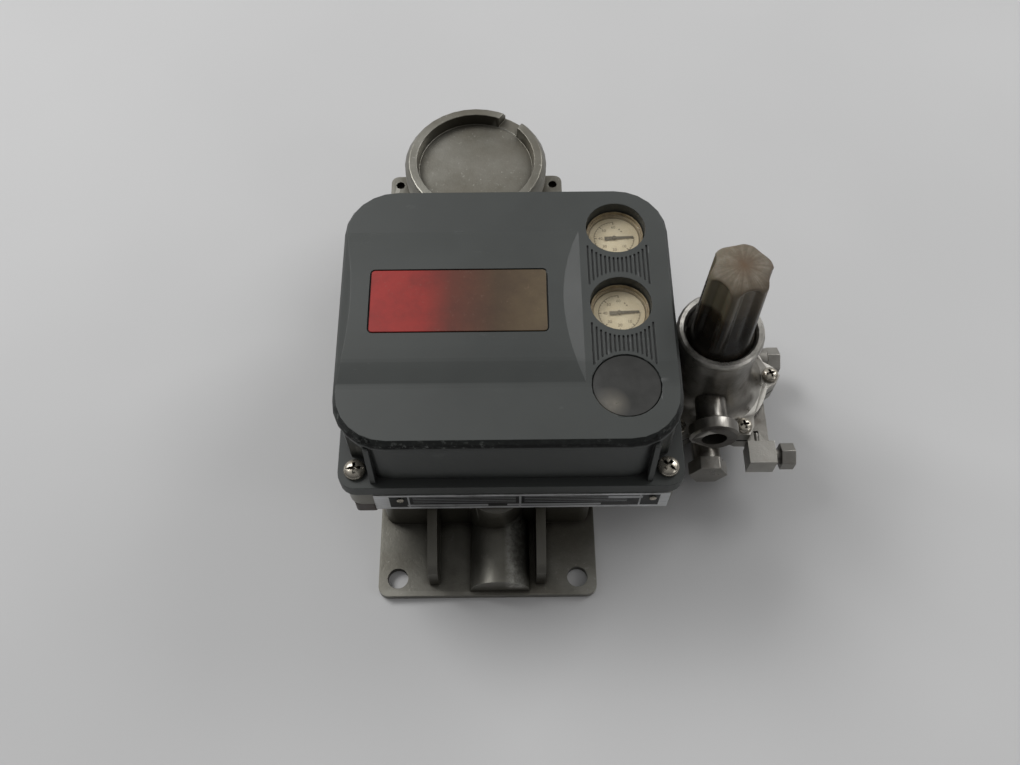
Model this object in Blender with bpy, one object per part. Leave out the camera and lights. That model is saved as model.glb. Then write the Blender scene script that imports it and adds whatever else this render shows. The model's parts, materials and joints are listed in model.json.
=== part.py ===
"""Valve positioner with a filter regulator, lying on its flat back with the front cover up.

Sizes are in millimetres, and add_part turns them into metres. X runs towards the regulator,
Y towards the terminal box and Z from the flat back to the front cover. The origin lies on the
back face, under the middle of the front cover.
"""
import math

import bmesh
import bpy
from mathutils import Matrix, Vector

MM = 0.001
SEAT = 0.3              # gap between two pieces that touch
FIT = 0.3               # radial clearance of a shank, stem or case in its hole
FINE_COUNT = 30         # sides of a large round piece
MEDIUM_COUNT = 18       # sides of a middling round piece
SMALL_COUNT = 8         # sides of a small round piece
WELD = 0.0005           # corners closer than this are one corner
SHARP_DEG = 32          # edges that turn more than this stay sharp
PAST = 1.0              # a cutter runs this far past the face it opens

# Screws, rivets and seals
SHANK_R = 2.2
SCREW_HEAD_R = 5.0
SCREW_HEAD_H = 3.4
SOCKET_HEAD_R = 4.2
SOCKET_HEAD_H = 4.0
CASE_HEAD_R = 4.1
CASE_HEAD_H = 2.9
RIVET_R = 1.0
RIVET_HEAD_R = 1.8
RIVET_HEAD_H = 0.9
SEAL_THICK = 1.0

# Tray of the housing casting, which carries the front cover
TRAY_HALF_X = 76.5
TRAY_HALF_Y = 68.5
TRAY_CORNER = 6.0
TRAY_BOTTOM = 39.0
TRAY_HEIGHT = 25.0
TRAY_TOP = TRAY_BOTTOM + TRAY_HEIGHT
TRAY_WALL = 4.5
TRAY_LEDGE_Z = TRAY_TOP - 12.0
TRAY_FLOOR_Z = TRAY_BOTTOM + 5.0
WELL_HALF_X = TRAY_HALF_X - TRAY_WALL
WELL_HALF_Y = TRAY_HALF_Y - TRAY_WALL
WELL_CORNER = 36.0
PLUG_HALF_X = WELL_HALF_X - 15.0
PLUG_HALF_Y = WELL_HALF_Y - 10.0
PLUG_CORNER = 26.0
SCREW_INSET_X = 5.5
SCREW_INSET_Y = 6.5
SCREW_X = TRAY_HALF_X - SCREW_INSET_X
SCREW_Y = TRAY_HALF_Y - SCREW_INSET_Y

# Side face that the regulator is bolted to
PORT_FACE_X = TRAY_HALF_X - 16.5
PORT_BLOCK_BOTTOM = 8.0
OVERHANG_Z = TRAY_BOTTOM + 9.0

# Rear mounting plate, block, ribs, column and half-round boss
PLATE_LEFT = -TRAY_HALF_X + 10.5
PLATE_RIGHT = PORT_FACE_X - 18.2
PLATE_FRONT = -TRAY_HALF_Y - 32.5
PLATE_BACK = TRAY_HALF_Y + 7.5
PLATE_THICK = 4.0
PLATE_CORNER = 5.0
PLATE_HOLE_R = 5.1
PLATE_HOLE_INSET = 9.5
PLATE_HOLE_EDGE = 9.0
BLOCK_MID_X = (PLATE_LEFT + PLATE_RIGHT) / 2
BLOCK_INSET = 2.6
BLOCK_FRONT = -TRAY_HALF_Y + 4.9
BLOCK_CORNER = 6.0
RIB_OFFSET = 26.1
RIB_THICK = 4.6
RIB_END_Y = PLATE_FRONT + 5.4
RIB_END_HEIGHT = 21.0
COLUMN_X = BLOCK_MID_X + 4.6
COLUMN_Y = BLOCK_FRONT + 6.1
COLUMN_R = 14.5
BOSS_X = BLOCK_MID_X + 6.1
BOSS_R = 14.6
BOSS_AXIS_Z = PLATE_THICK + 0.6
BOSS_END_INSET = 2.0

# Vent cap in the notch below the tray's left front corner
VENT_NOTCH_Z = TRAY_BOTTOM + 6.0
VENT_CAP_WIDTH = 10.4
VENT_CAP_DEPTH = 12.0
VENT_CAP_HEIGHT = 9.6

# Travel sensor, feedback shaft and the recess round the shaft's end
SENSOR_R = 7.0
SENSOR_FLOOR = 12.0
SHAFT_R = 3.0
RECESS_R = 8.5
RECESS_DEPTH = 8.0

# Terminal box and its screw cap
CAP_R = 37.6
CAP_RIM = 5.2
CAP_DEPTH = 6.5
CAP_ROOF = 2.2
CAP_HEIGHT = 12.4
CAP_GAP_WIDTH = 12.0
CAP_GAP_ANGLE = 55.0
BOX_X = BLOCK_MID_X - 4.9
BOX_Y = TRAY_HALF_Y + CAP_R + 8.1
BOX_BOTTOM = 14.0
BOX_TOP = TRAY_TOP - 4.0
BOX_R = CAP_R - 4.1
BOX_SHOULDER_R = CAP_R - 1.2
BOX_WALL = 6.5
BOX_FLOOR = 6.0
BOX_LINK = BOX_R - 3.5
CHAMBER_R = BOX_R - BOX_WALL
CAP_BOTTOM = BOX_TOP + 2 * SEAT + SEAL_THICK
CAP_TOP = CAP_BOTTOM + CAP_HEIGHT
NECK_R = CAP_R - CAP_RIM - FIT
NECK_TOP = CAP_TOP - CAP_DEPTH - CAP_ROOF - FIT
EAR_HALF_X = BOX_R + 13.1
EAR_FRONT = BOX_Y - 22.2
EAR_BACK = BOX_Y + 6.8
EAR_BOTTOM = BOX_TOP - 38.0
EAR_TOP = BOX_TOP - 8.0
EAR_PIT_R = 2.4
CONDUIT_R = 10.5
CONDUIT_WALL = 0.45 * CHAMBER_R      # a conduit bore ends this far from the box's middle
BOARD_R = CHAMBER_R - 3.0
BOARD_THICK = 5.0
BLOCK_HALF_X = 0.6 * CHAMBER_R
BLOCK_HALF_Y = 4.0
BLOCK_OFFSET = 9.0
BLOCK_HEIGHT = 20.0

# Front cover
COVER_FACE_Z = 108.0
COVER_HALF_X = TRAY_HALF_X - 0.1
COVER_HALF_Y = TRAY_HALF_Y - 1.1
COVER_CORNER = 24.0
COVER_DRAFT = 0.2
COVER_LEAN = 1.3        # the face lies this far left of the flange's middle
COVER_EDGE = 5.0
COVER_LEDGE = 0.9       # the face's rim stands this far out from the wall below it
COVER_ROOF = 3.5
FLANGE_OVER = 2.3
FLANGE_HALF_X = TRAY_HALF_X + FLANGE_OVER
FLANGE_HALF_Y = TRAY_HALF_Y + FLANGE_OVER
FLANGE_CORNER = TRAY_CORNER + 2.0
FLANGE_THICK = 4.0
LIP_DEPTH = 3.6
GASKET_TOP = TRAY_TOP + SEAT + SEAL_THICK
COVER_BOTTOM = GASKET_TOP + SEAT
FLANGE_TOP = COVER_BOTTOM + FLANGE_THICK
COVER_RISE = COVER_FACE_Z - FLANGE_TOP
ROOF_Z = COVER_FACE_Z - COVER_ROOF
CROWN_RISE = 3.5
CROWN_FRONT = -COVER_HALF_Y + 29.4
CROWN_BACK = COVER_HALF_Y - 25.4
STRIP_SLOPE = 0.41
POCKET_R = 7.2
POCKET_HEIGHT = 0.7 * COVER_RISE
FIN_X = SCREW_X - 8.7
FIN_THICK = 2.4
FIN_REACH = 3.2
FIN_HEIGHT = 0.81 * COVER_RISE

# Gauges, in a row on the gauge strip
GAUGE_X = COVER_HALF_X - 26.4
GAUGE_Y = 2.0
GAUGE_PITCH = WELL_HALF_Y - WELL_CORNER + 15.75 - GAUGE_Y
GAUGE_YS = (GAUGE_Y + GAUGE_PITCH, GAUGE_Y)
BLANK_Y = GAUGE_Y - GAUGE_PITCH
GAUGE_SINK = 5.4
GAUGE_TOP = COVER_FACE_Z - GAUGE_SINK
CASE_R = 13.7
CASE_RIM = 0.8
CASE_DEPTH = 0.45 * (COVER_FACE_Z - TRAY_TOP)
DIAL_R = CASE_R - 1.7
DIAL_SINK = 5.2
DIAL_THICK = 0.8
LENS_THICK = 1.0
CUP_FLOOR = GAUGE_TOP - DIAL_SINK - 1.1
LENS_LEDGE = GAUGE_TOP - LENS_THICK - 1.0
NEEDLE_LENGTH = 0.78 * DIAL_R
NEEDLE_TAIL = 0.38 * DIAL_R
HUB_R = 1.2
SPINDLE_HOLE_R = 0.9
STEM_R = 4.5
STEM_DEPTH = 6.0
SPARE_FLATS = 14.0
SPARE_HEX = 6.0
BLANK_R = CASE_R + 1.3
BLANK_THICK = 1.8
STRIP_X = GAUGE_X - BLANK_R - 2.5
RIB_PITCH = 0.13 * BLANK_R
RIB_COUNT = 15
RIB_WIDTH = 0.46 * RIB_PITCH
RIB_DEPTH = 0.7
RIB_MARGIN = 2.0

# Nameplate on the crowned face
NAME_LEFT = -COVER_HALF_X + 13.8
NAME_RIGHT = STRIP_X - 15.9
NAME_X = (NAME_LEFT + NAME_RIGHT) / 2
NAME_Y = 2.5
NAME_HALF_X = (NAME_RIGHT - NAME_LEFT) / 2
NAME_HALF_Y = 16.2
NAME_CORNER = 1.6
NAME_THICK = 0.8
NAME_GROOVE = 0.6
NAME_SINK = 0.6

# Module base and the modules it carries
BASE_THICK = 7.0
BASE_BOTTOM = TRAY_LEDGE_Z + 2 * SEAT + SEAL_THICK
BASE_TOP = BASE_BOTTOM + BASE_THICK
ROOM = ROOF_Z - BASE_TOP
BASE_SCREW_INSET = 5.8
BASE_SCREWS = ((BASE_SCREW_INSET - WELL_HALF_X, 0.0),
               (GAUGE_X - 24.0, WELL_HALF_Y - BASE_SCREW_INSET + 0.6),
               (GAUGE_X - 24.0, BASE_SCREW_INSET - 0.6 - WELL_HALF_Y))
RELAY_X = -WELL_HALF_X + 30.0
RELAY_Y = 0.4 * WELL_HALF_Y
RELAY_HALF_X = 17.0
RELAY_HALF_Y = 0.38 * WELL_HALF_Y
RELAY_HEIGHT = 0.82 * ROOM
RELAY_STEP = 4.5
CONVERTER_X = RELAY_X
CONVERTER_Y = -0.38 * WELL_HALF_Y
CONVERTER_R = 0.26 * WELL_HALF_Y
CONVERTER_HEIGHT = 0.73 * ROOM
CONVERTER_STEP = 4.0
BOARD_LEFT = RELAY_X + RELAY_HALF_X + 7.0
BOARD_RIGHT = GAUGE_X - 24.0
BOARD_X = (BOARD_LEFT + BOARD_RIGHT) / 2
BOARD_HALF_X = (BOARD_RIGHT - BOARD_LEFT) / 2
BOARD_HALF_Y = 0.66 * WELL_HALF_Y
BOARD_HEIGHT = 0.45 * ROOM
WINDOW_DEPTH = 4.0
WINDOW_INSET = 3.0

# Label plate on the lower side wall
LABEL_LEFT = -TRAY_HALF_X + 12.5
LABEL_RIGHT = TRAY_HALF_X - 3.0
LABEL_BOTTOM = TRAY_BOTTOM + 1.4
LABEL_TOP = TRAY_TOP - 7.4
LABEL_THICK = 0.5
RIVET_X = (LABEL_LEFT + 12.3, LABEL_RIGHT - 7.8)
RIVET_Z = (LABEL_BOTTOM + LABEL_TOP) / 2 + 3.5

# Regulator's spring case
BARREL_R = 20.2
BARREL_WALL = 3.2
BARREL_BORE_R = BARREL_R - BARREL_WALL
LOBE_R = 5.3
LOBE_CIRCLE_R = BARREL_R + 13.1
RIM_R = LOBE_CIRCLE_R - 1.5
SCREW_ROOM_R = LOBE_CIRCLE_R - CASE_HEAD_R - FIT
REG_X = PORT_FACE_X + SEAT + LOBE_CIRCLE_R + LOBE_R + 1.5
REG_Y = 4.0
CASE_FLANGE_Z = 34.0
CASE_FLANGE_THICK = 6.4
CASE_BOTTOM_Z = CASE_FLANGE_Z - CASE_FLANGE_THICK
BARREL_HEIGHT = 46.6
MOUTH_Z = CASE_FLANGE_Z + BARREL_HEIGHT
WEB_Z = MOUTH_Z - 13.6
WEB_THICK = 5.0
DIAPHRAGM_THICK = 1.0
DIAPHRAGM_Z = CASE_BOTTOM_Z - SEAT - DIAPHRAGM_THICK
VENT_X = REG_X - 1.4
VENT_Z = CASE_FLANGE_Z + 11.0
VENT_END_Y = REG_Y - LOBE_CIRCLE_R - 7.5
VENT_NECK_R = 7.6
VENT_COLLAR_R = VENT_NECK_R + 4.6
VENT_COLLAR_LENGTH = 9.5
VENT_COLLAR_FLAT = 3.6
VENT_FLAT_DEG = 35
VENT_HOLE_R = VENT_NECK_R - 1.4
VENT_HOLE_DEPTH = 13.0
VENT_BLEED_R = 1.8

# Regulator's body with its ports and fittings
BODY_TOP = DIAPHRAGM_Z - SEAT
BODY_BOTTOM = 10.4
BODY_R = LOBE_CIRCLE_R - 9.3
BODY_DISC = 6.4
BODY_MID_Z = (BODY_BOTTOM + BODY_TOP) / 2
MOUNT_Z = BODY_MID_Z - 0.4
EAR_SPREAD = LOBE_CIRCLE_R - 5.3
EAR_THICK = 12.0
EAR_END = 7.0
PORT_FRONT = REG_Y - EAR_SPREAD - 10.0
PORT_BACK = REG_Y + EAR_SPREAD + 14.0
OVERHANG_FRONT = REG_Y - LOBE_CIRCLE_R - 16.7
OVERHANG_BACK = REG_Y + LOBE_CIRCLE_R + 22.7
PORT_Y = REG_Y + 10.0
PORT_R = 4.5
PRESSURE_R = BARREL_R - 0.2
FRONT_PORT_X = REG_X - 0.6
FRONT_PORT_Y = REG_Y - LOBE_CIRCLE_R - 7.9
FRONT_PORT_Z = BODY_MID_Z
FRONT_PORT_R = (BODY_TOP - BODY_BOTTOM) / 2 - 0.6
FRONT_BORE_R = FRONT_PORT_R - 1.8
PLUG_FLATS = 17.0
PLUG_HEX = 7.0
INLET_X = REG_X + LOBE_CIRCLE_R + 3.1
INLET_Y = REG_Y + 0.52 * LOBE_CIRCLE_R
INLET_Z = BODY_MID_Z - 0.4
INLET_R = FRONT_PORT_R
FITTING_FLATS = 13.0
FITTING_HEX = 6.5
FITTING_STUD_R = 4.0
DRAIN_X = REG_X + 0.74 * LOBE_CIRCLE_R
DRAIN_Y = REG_Y - LOBE_CIRCLE_R - 8.8
DRAIN_Z = BODY_TOP + 0.6
DRAIN_HALF = 6.0
DRAIN_LENGTH = 13.6
DRAIN_STUD_R = 3.0
DRAIN_STUD_Z = BODY_TOP - 4.0
DRAIN_SHANK_R = 2.5
NUT_FLATS = 11.6
NUT_LENGTH = 7.0
VALVE_ROOM_R = 9.0
STEM_HOLE_R = 2.4
SEAT_Z = BODY_TOP - 9.4
DRIPWELL_R = BODY_R - 1.0
DRIPWELL_DEPTH = 8.4
DRIPWELL_WALL = 2.5
DRIPWELL_ROUND = 3.0

# Regulator's spring, adjuster and closing cap
WIRE_R = 1.4
COIL_COUNT = 5
SPRING_R = BARREL_BORE_R - 5.5
SPRING_BOTTOM = CASE_BOTTOM_Z + 2.0
SEAT_HEIGHT = 6.0
SPRING_TOP = WEB_Z - WEB_THICK - SEAT - SEAT_HEIGHT
GASKET_CAP_Z = WEB_Z + SEAT
CLOSING_R = BARREL_BORE_R - 1.0
CAP_TOP_Z = MOUTH_Z + 53.4
CAP_HOLLOW_R = 0.594 * CLOSING_R
CAP_HOLLOW_CONE = 8.0
FLUTE_COUNT = 6
FLUTE_PHASE_DEG = 12
FLUTE_DEPTH = 0.2 * CLOSING_R
SCREW_R = 0.42 * CAP_HOLLOW_R
SCREW_TOP = WEB_Z + 33.0
LOCK_NUT_FLATS = 2 * (CAP_HOLLOW_R - 2.0) * math.cos(math.pi / 6)
LOCK_NUT_THICK = 4.7

MATERIALS = {
    "cast_metal": ((0.36, 0.35, 0.31), 0.5, 0.85),
    "stainless": ((0.62, 0.60, 0.56), 0.35, 1.0),
    "cover_plastic": ((0.16, 0.18, 0.18), 0.55, 0.0),
    "nameplate": ((0.36, 0.07, 0.05), 0.35, 0.4),
    "label": ((0.62, 0.62, 0.62), 0.35, 0.8),
    "rubber": ((0.02, 0.02, 0.02), 0.8, 0.0),
    "dial": ((0.82, 0.76, 0.62), 0.6, 0.0),
    "bezel": ((0.42, 0.36, 0.28), 0.4, 0.7),
    "needle": ((0.10, 0.09, 0.07), 0.5, 0.0),
    "lens": ((0.85, 0.86, 0.84), 0.05, 0.0),
    "smoked_plastic": ((0.30, 0.27, 0.24), 0.4, 0.0),
    "brown_plastic": ((0.14, 0.08, 0.06), 0.5, 0.0),
    "black_plastic": ((0.03, 0.03, 0.03), 0.5, 0.0),
    "filter_media": ((0.75, 0.72, 0.62), 0.9, 0.0),
    "spring_steel": ((0.45, 0.45, 0.46), 0.35, 1.0),
}


def clear_scene():
    for item in list(bpy.data.objects):
        bpy.data.objects.remove(item, do_unlink=True)


def material(name):
    """Return the named material, made at its first use."""
    found = bpy.data.materials.get(name)
    if found:
        return found
    colour, roughness, metallic = MATERIALS[name]
    made = bpy.data.materials.new(name)
    made.use_nodes = True
    shader = made.node_tree.nodes["Principled BSDF"]
    shader.inputs["Base Color"].default_value = (*colour, 1.0)
    shader.inputs["Roughness"].default_value = roughness
    shader.inputs["Metallic"].default_value = metallic
    made.diffuse_color = (*colour, 1.0)
    return made


def add_part(name, shape, material_name, origin=(0, 0, 0), parent=None):
    """Turn a shape in millimetres into a named object, with its origin at a point of its axis."""
    place = Vector(origin)
    shape.transform(Matrix.Scale(MM, 4) @ Matrix.Translation(-place))
    mesh = bpy.data.meshes.new(name)
    shape.to_mesh(mesh)
    shape.free()
    mesh.shade_smooth()
    mesh.set_sharp_from_angle(angle=math.radians(SHARP_DEG))
    mesh.materials.append(material(material_name))
    part = bpy.data.objects.new(name, mesh)
    bpy.context.collection.objects.link(part)
    part.location = place * MM
    if parent:
        part.parent = parent
        part.matrix_parent_inverse = Matrix.Translation(-parent_place(parent))
    return part


def parent_place(item):
    """World place of an object that is only moved, never turned."""
    place = item.location.copy()
    if item.parent:
        place += parent_place(item.parent) + item.matrix_parent_inverse.translation
    return place


def circle(radius, count=MEDIUM_COUNT, centre=(0, 0)):
    step = math.tau / count
    return [(centre[0] + radius * math.cos(step * i), centre[1] + radius * math.sin(step * i))
            for i in range(count)]


def hexagon(flats):
    return circle(flats / 2 / math.cos(math.pi / 6), 6)


def rounded_rect(half_x, half_y, radius, centre=(0, 0), steps=5):
    """Outline of a rectangle with round corners, anticlockwise."""
    points = []
    for turn, (sign_x, sign_y) in enumerate(((1, 1), (-1, 1), (-1, -1), (1, -1))):
        middle_x = centre[0] + sign_x * (half_x - radius)
        middle_y = centre[1] + sign_y * (half_y - radius)
        for i in range(steps + 1):
            angle = math.pi / 2 * (turn + i / steps)
            points.append((middle_x + radius * math.cos(angle), middle_y + radius * math.sin(angle)))
    return points


def span_rect(low_x, high_x, low_y, high_y, radius, steps=4):
    centre = ((low_x + high_x) / 2, (low_y + high_y) / 2)
    return rounded_rect((high_x - low_x) / 2, (high_y - low_y) / 2, radius, centre, steps)


def lobed(centre, count=48):
    """Round outline with a lobe round each of six screws."""
    points = []
    for i in range(count):
        angle = math.tau * i / count
        lobe = math.radians(60) * round(angle / math.radians(60))
        off = angle - lobe
        side = LOBE_CIRCLE_R * math.sin(off)
        reach = RIM_R
        if abs(side) < LOBE_R:
            outer = LOBE_CIRCLE_R * math.cos(off) + math.sqrt(LOBE_R ** 2 - side ** 2)
            reach = max(RIM_R, outer)
        points.append((centre[0] + reach * math.cos(angle), centre[1] + reach * math.sin(angle)))
    return points


def loft(rings):
    """Closed solid through rings of the same number of points."""
    shape = bmesh.new()
    loops = [[shape.verts.new(point) for point in ring] for ring in rings]
    for low, high in zip(loops, loops[1:]):
        for i in range(len(low)):
            j = (i + 1) % len(low)
            shape.faces.new((low[i], low[j], high[j], high[i]))
    shape.faces.new(list(reversed(loops[0])))
    shape.faces.new(loops[-1])
    bmesh.ops.recalc_face_normals(shape, faces=shape.faces)
    return shape


def prism(outline, low, high):
    return loft([[(x, y, z) for x, y in outline] for z in (low, high)])


def side_prism(outline, low_x, high_x):
    """Solid with an outline in Y and Z, run along X."""
    return loft([[(x, y, z) for y, z in outline] for x in (low_x, high_x)])


def box(low, high):
    return prism([(low[0], low[1]), (high[0], low[1]), (high[0], high[1]), (low[0], high[1])],
                 low[2], high[2])


def turned(profile, count=MEDIUM_COUNT, centre=(0, 0)):
    """Solid turned round the Z axis from a profile of radius and height.

    A profile that starts and ends at radius 0 is closed on the axis, and any other is a ring.
    """
    shape = bmesh.new()
    rings = []
    for radius, z in profile:
        if radius == 0:
            rings.append([shape.verts.new((centre[0], centre[1], z))])
        else:
            rings.append([shape.verts.new((x, y, z)) for x, y in circle(radius, count, centre)])
    pairs = list(zip(rings, rings[1:]))
    if profile[0][0] > 0:
        pairs.append((rings[-1], rings[0]))
    for low, high in pairs:
        for i in range(count):
            j = (i + 1) % count
            corners = [low[i % len(low)], low[j % len(low)], high[j % len(high)], high[i % len(high)]]
            shape.faces.new(list(dict.fromkeys(corners)))
    bmesh.ops.recalc_face_normals(shape, faces=shape.faces)
    return shape


def rod(radius, start, end, count=MEDIUM_COUNT):
    """Round bar between two points."""
    start, end = Vector(start), Vector(end)
    shape = prism(circle(radius, count), 0, (end - start).length)
    return aim(shape, end - start, start)


def aim(shape, direction, place):
    """Turn a shape's Z axis to a direction and move its origin to a place."""
    turn = Vector((0, 0, 1)).rotation_difference(Vector(direction))
    shape.transform(Matrix.Translation(place) @ turn.to_matrix().to_4x4())
    return shape


def combine(base, tools, operation):
    """Join tools to a base or cut them from it, with exact Booleans."""
    for tool in tools:
        made = []
        for shape in (base, tool):
            mesh = bpy.data.meshes.new("work")
            shape.to_mesh(mesh)
            shape.free()
            item = bpy.data.objects.new("work", mesh)
            bpy.context.collection.objects.link(item)
            made.append(item)
        change = made[0].modifiers.new("work", "BOOLEAN")
        change.operation = operation
        change.solver = "EXACT"
        change.object = made[1]
        seen = made[0].evaluated_get(bpy.context.evaluated_depsgraph_get())
        base = bmesh.new()
        base.from_mesh(seen.to_mesh())
        bmesh.ops.remove_doubles(base, verts=base.verts, dist=WELD)
        bmesh.ops.dissolve_degenerate(base, edges=base.edges, dist=WELD)
        for item in made:
            mesh = item.data
            bpy.data.objects.remove(item, do_unlink=True)
            bpy.data.meshes.remove(mesh)
    return base


def join(base, *tools):
    return combine(base, tools, "UNION")


def cut(base, *tools):
    return combine(base, tools, "DIFFERENCE")


def corners():
    return [(sign_x * SCREW_X, sign_y * SCREW_Y) for sign_x in (-1, 1) for sign_y in (-1, 1)]


def well_outline(inset=0.0):
    """Inside of the tray and of the cover, kept clear of the corner screws."""
    return rounded_rect(WELL_HALF_X - inset, WELL_HALF_Y - inset, WELL_CORNER - inset)


def plug_outline(inset=0.0):
    """Lower, smaller part of the tray's well."""
    return rounded_rect(PLUG_HALF_X - inset, PLUG_HALF_Y - inset, PLUG_CORNER - inset)


def build_housing():
    """Casting with its tray, rear block, mounting plate, ribs, column, boss and terminal box."""
    inner = PLATE_THICK / 2
    plate = mounting_plate()
    block = prism(span_rect(PLATE_LEFT + BLOCK_INSET, PLATE_RIGHT - BLOCK_INSET, BLOCK_FRONT,
                            PLATE_BACK - BLOCK_INSET, BLOCK_CORNER), inner, TRAY_BOTTOM + 1)
    tray = prism(rounded_rect(TRAY_HALF_X, TRAY_HALF_Y, TRAY_CORNER), TRAY_BOTTOM, TRAY_TOP)
    port = box((PLATE_RIGHT - 12, PORT_FRONT, PORT_BLOCK_BOTTOM),
               (PORT_FACE_X + 2, PORT_BACK, TRAY_BOTTOM + 1))
    column = rod(COLUMN_R, (COLUMN_X, COLUMN_Y, inner), (COLUMN_X, COLUMN_Y, TRAY_BOTTOM + 1), FINE_COUNT)
    boss = rod(BOSS_R, (BOSS_X, PLATE_FRONT + BOSS_END_INSET, BOSS_AXIS_Z),
               (BOSS_X, COLUMN_Y, BOSS_AXIS_Z), FINE_COUNT)
    boss = cut(boss, box((BOSS_X - 2 * BOSS_R, PLATE_FRONT - PAST, -2 * BOSS_R),
                         (BOSS_X + 2 * BOSS_R, 0, inner)))
    ribs = []
    for side in (-1, 1):
        middle = BLOCK_MID_X + side * RIB_OFFSET
        outline = [(BLOCK_FRONT + 2, inner), (RIB_END_Y, inner), (RIB_END_Y, RIB_END_HEIGHT),
                   (RIB_END_Y + 4, RIB_END_HEIGHT + 4), (BLOCK_FRONT, TRAY_BOTTOM - 2),
                   (BLOCK_FRONT + 2, TRAY_BOTTOM - 2)]
        ribs.append(side_prism(outline, middle - RIB_THICK / 2, middle + RIB_THICK / 2))
    body = join(tray, block, plate, port, column, boss, *ribs, *terminal_box())
    overhang = box((PORT_FACE_X, OVERHANG_FRONT, 0), (TRAY_HALF_X + 5, OVERHANG_BACK, OVERHANG_Z))
    notch = box((-TRAY_HALF_X - 1, -TRAY_HALF_Y - 1, TRAY_BOTTOM - 1),
                (PLATE_LEFT + BLOCK_INSET, -TRAY_HALF_Y + VENT_CAP_DEPTH, VENT_NOTCH_Z))
    well = prism(well_outline(), TRAY_LEDGE_Z, TRAY_TOP + 1)
    lower_well = prism(plug_outline(), TRAY_FLOOR_Z, TRAY_LEDGE_Z + 1)
    sensor_bore = rod(SENSOR_R + FIT, (COLUMN_X, COLUMN_Y, SENSOR_FLOOR),
                      (COLUMN_X, COLUMN_Y, TRAY_LEDGE_Z + PAST))
    shaft_bore = rod(SHAFT_R + FIT, (COLUMN_X, COLUMN_Y, -PAST),
                     (COLUMN_X, COLUMN_Y, SENSOR_FLOOR + PAST), SMALL_COUNT)
    recess = rod(RECESS_R, (COLUMN_X, COLUMN_Y, -1), (COLUMN_X, COLUMN_Y, RECESS_DEPTH))
    supply = rod(PORT_R, (PORT_FACE_X - 14, PORT_Y, MOUNT_Z), (PORT_FACE_X + 1, PORT_Y, MOUNT_Z), SMALL_COUNT)
    threads = [rod(SHANK_R + FIT, (x, y, TRAY_TOP - 14), (x, y, TRAY_TOP + PAST), SMALL_COUNT)
               for x, y in corners()]
    threads += [rod(SHANK_R + FIT, (x, y, TRAY_LEDGE_Z - 5.5), (x, y, TRAY_LEDGE_Z + PAST), SMALL_COUNT)
                for x, y in BASE_SCREWS]
    threads += [rod(SHANK_R + FIT, (PORT_FACE_X - 11, REG_Y + side * EAR_SPREAD, MOUNT_Z),
                    (PORT_FACE_X + 1, REG_Y + side * EAR_SPREAD, MOUNT_Z), SMALL_COUNT) for side in (-1, 1)]
    threads += [rod(RIVET_R + FIT, (x, -TRAY_HALF_Y - PAST, RIVET_Z),
                    (x, -TRAY_HALF_Y + 2.8, RIVET_Z), SMALL_COUNT) for x in RIVET_X]
    body = cut(body, overhang, notch, well, lower_well, sensor_bore, recess, shaft_bore, supply,
               *threads, *terminal_cuts())
    return add_part("housing", body, "cast_metal")


def mounting_plate():
    """Rear plate with the two bolt holes at its front corners."""
    plate = prism(span_rect(PLATE_LEFT, PLATE_RIGHT, PLATE_FRONT, PLATE_BACK, PLATE_CORNER),
                  0, PLATE_THICK)
    holes = []
    for side in (-1, 1):
        from_middle = (PLATE_RIGHT - PLATE_LEFT) / 2 - PLATE_HOLE_INSET
        spot = (BLOCK_MID_X + side * from_middle, PLATE_FRONT + PLATE_HOLE_EDGE)
        holes.append(rod(PLATE_HOLE_R, (*spot, -PAST), (*spot, PLATE_THICK + PAST)))
    return cut(plate, *holes)


def terminal_box():
    """Round terminal box with its neck, the ears for the conduits and the link to the tray."""
    drum = turned([(0, BOX_BOTTOM), (BOX_R - 3, BOX_BOTTOM), (BOX_R, BOX_BOTTOM + 3), (BOX_R, BOX_TOP - 10),
                   (BOX_SHOULDER_R, BOX_TOP - 7), (BOX_SHOULDER_R, BOX_TOP), (NECK_R, BOX_TOP),
                   (NECK_R, NECK_TOP), (0, NECK_TOP)], FINE_COUNT, (BOX_X, BOX_Y))
    ears = prism(span_rect(BOX_X - EAR_HALF_X, BOX_X + EAR_HALF_X, EAR_FRONT, EAR_BACK, 4),
                 EAR_BOTTOM, EAR_TOP)
    link = box((BOX_X - BOX_LINK, TRAY_HALF_Y - 6, BOX_BOTTOM + 2), (BOX_X + BOX_LINK, BOX_Y, BOX_TOP - 4))
    return drum, ears, link


def terminal_cuts():
    """Chamber, conduit bores and the two small holes in the ears' tops."""
    chamber = rod(CHAMBER_R, (BOX_X, BOX_Y, BOX_BOTTOM + BOX_FLOOR),
                  (BOX_X, BOX_Y, NECK_TOP + PAST), FINE_COUNT)
    ear_mid_z = (EAR_BOTTOM + EAR_TOP) / 2
    ear_mid_y = (EAR_FRONT + EAR_BACK) / 2
    conduits = [rod(CONDUIT_R, (BOX_X + side * (EAR_HALF_X + PAST), ear_mid_y, ear_mid_z),
                    (BOX_X + side * CONDUIT_WALL, ear_mid_y, ear_mid_z), MEDIUM_COUNT + 3)
                for side in (-1, 1)]
    pits = []
    for side in (-1, 1):
        spot = (BOX_X + side * (EAR_HALF_X - 5), EAR_BACK - 6)
        pits.append(rod(EAR_PIT_R, (*spot, EAR_TOP - 3), (*spot, EAR_TOP + PAST), SMALL_COUNT))
    return chamber, *conduits, *pits


def pan_screw(head_r, head_h, shank_r, length, count=SMALL_COUNT + 4):
    """Pan-head screw along Z with the underside of its head at height 0."""
    return turned([(0, -length), (shank_r, -length), (shank_r, 0), (head_r, 0), (head_r, 0.4 * head_h),
                   (0.86 * head_r, 0.8 * head_h), (0.5 * head_r, head_h), (0, head_h)], count)


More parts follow.
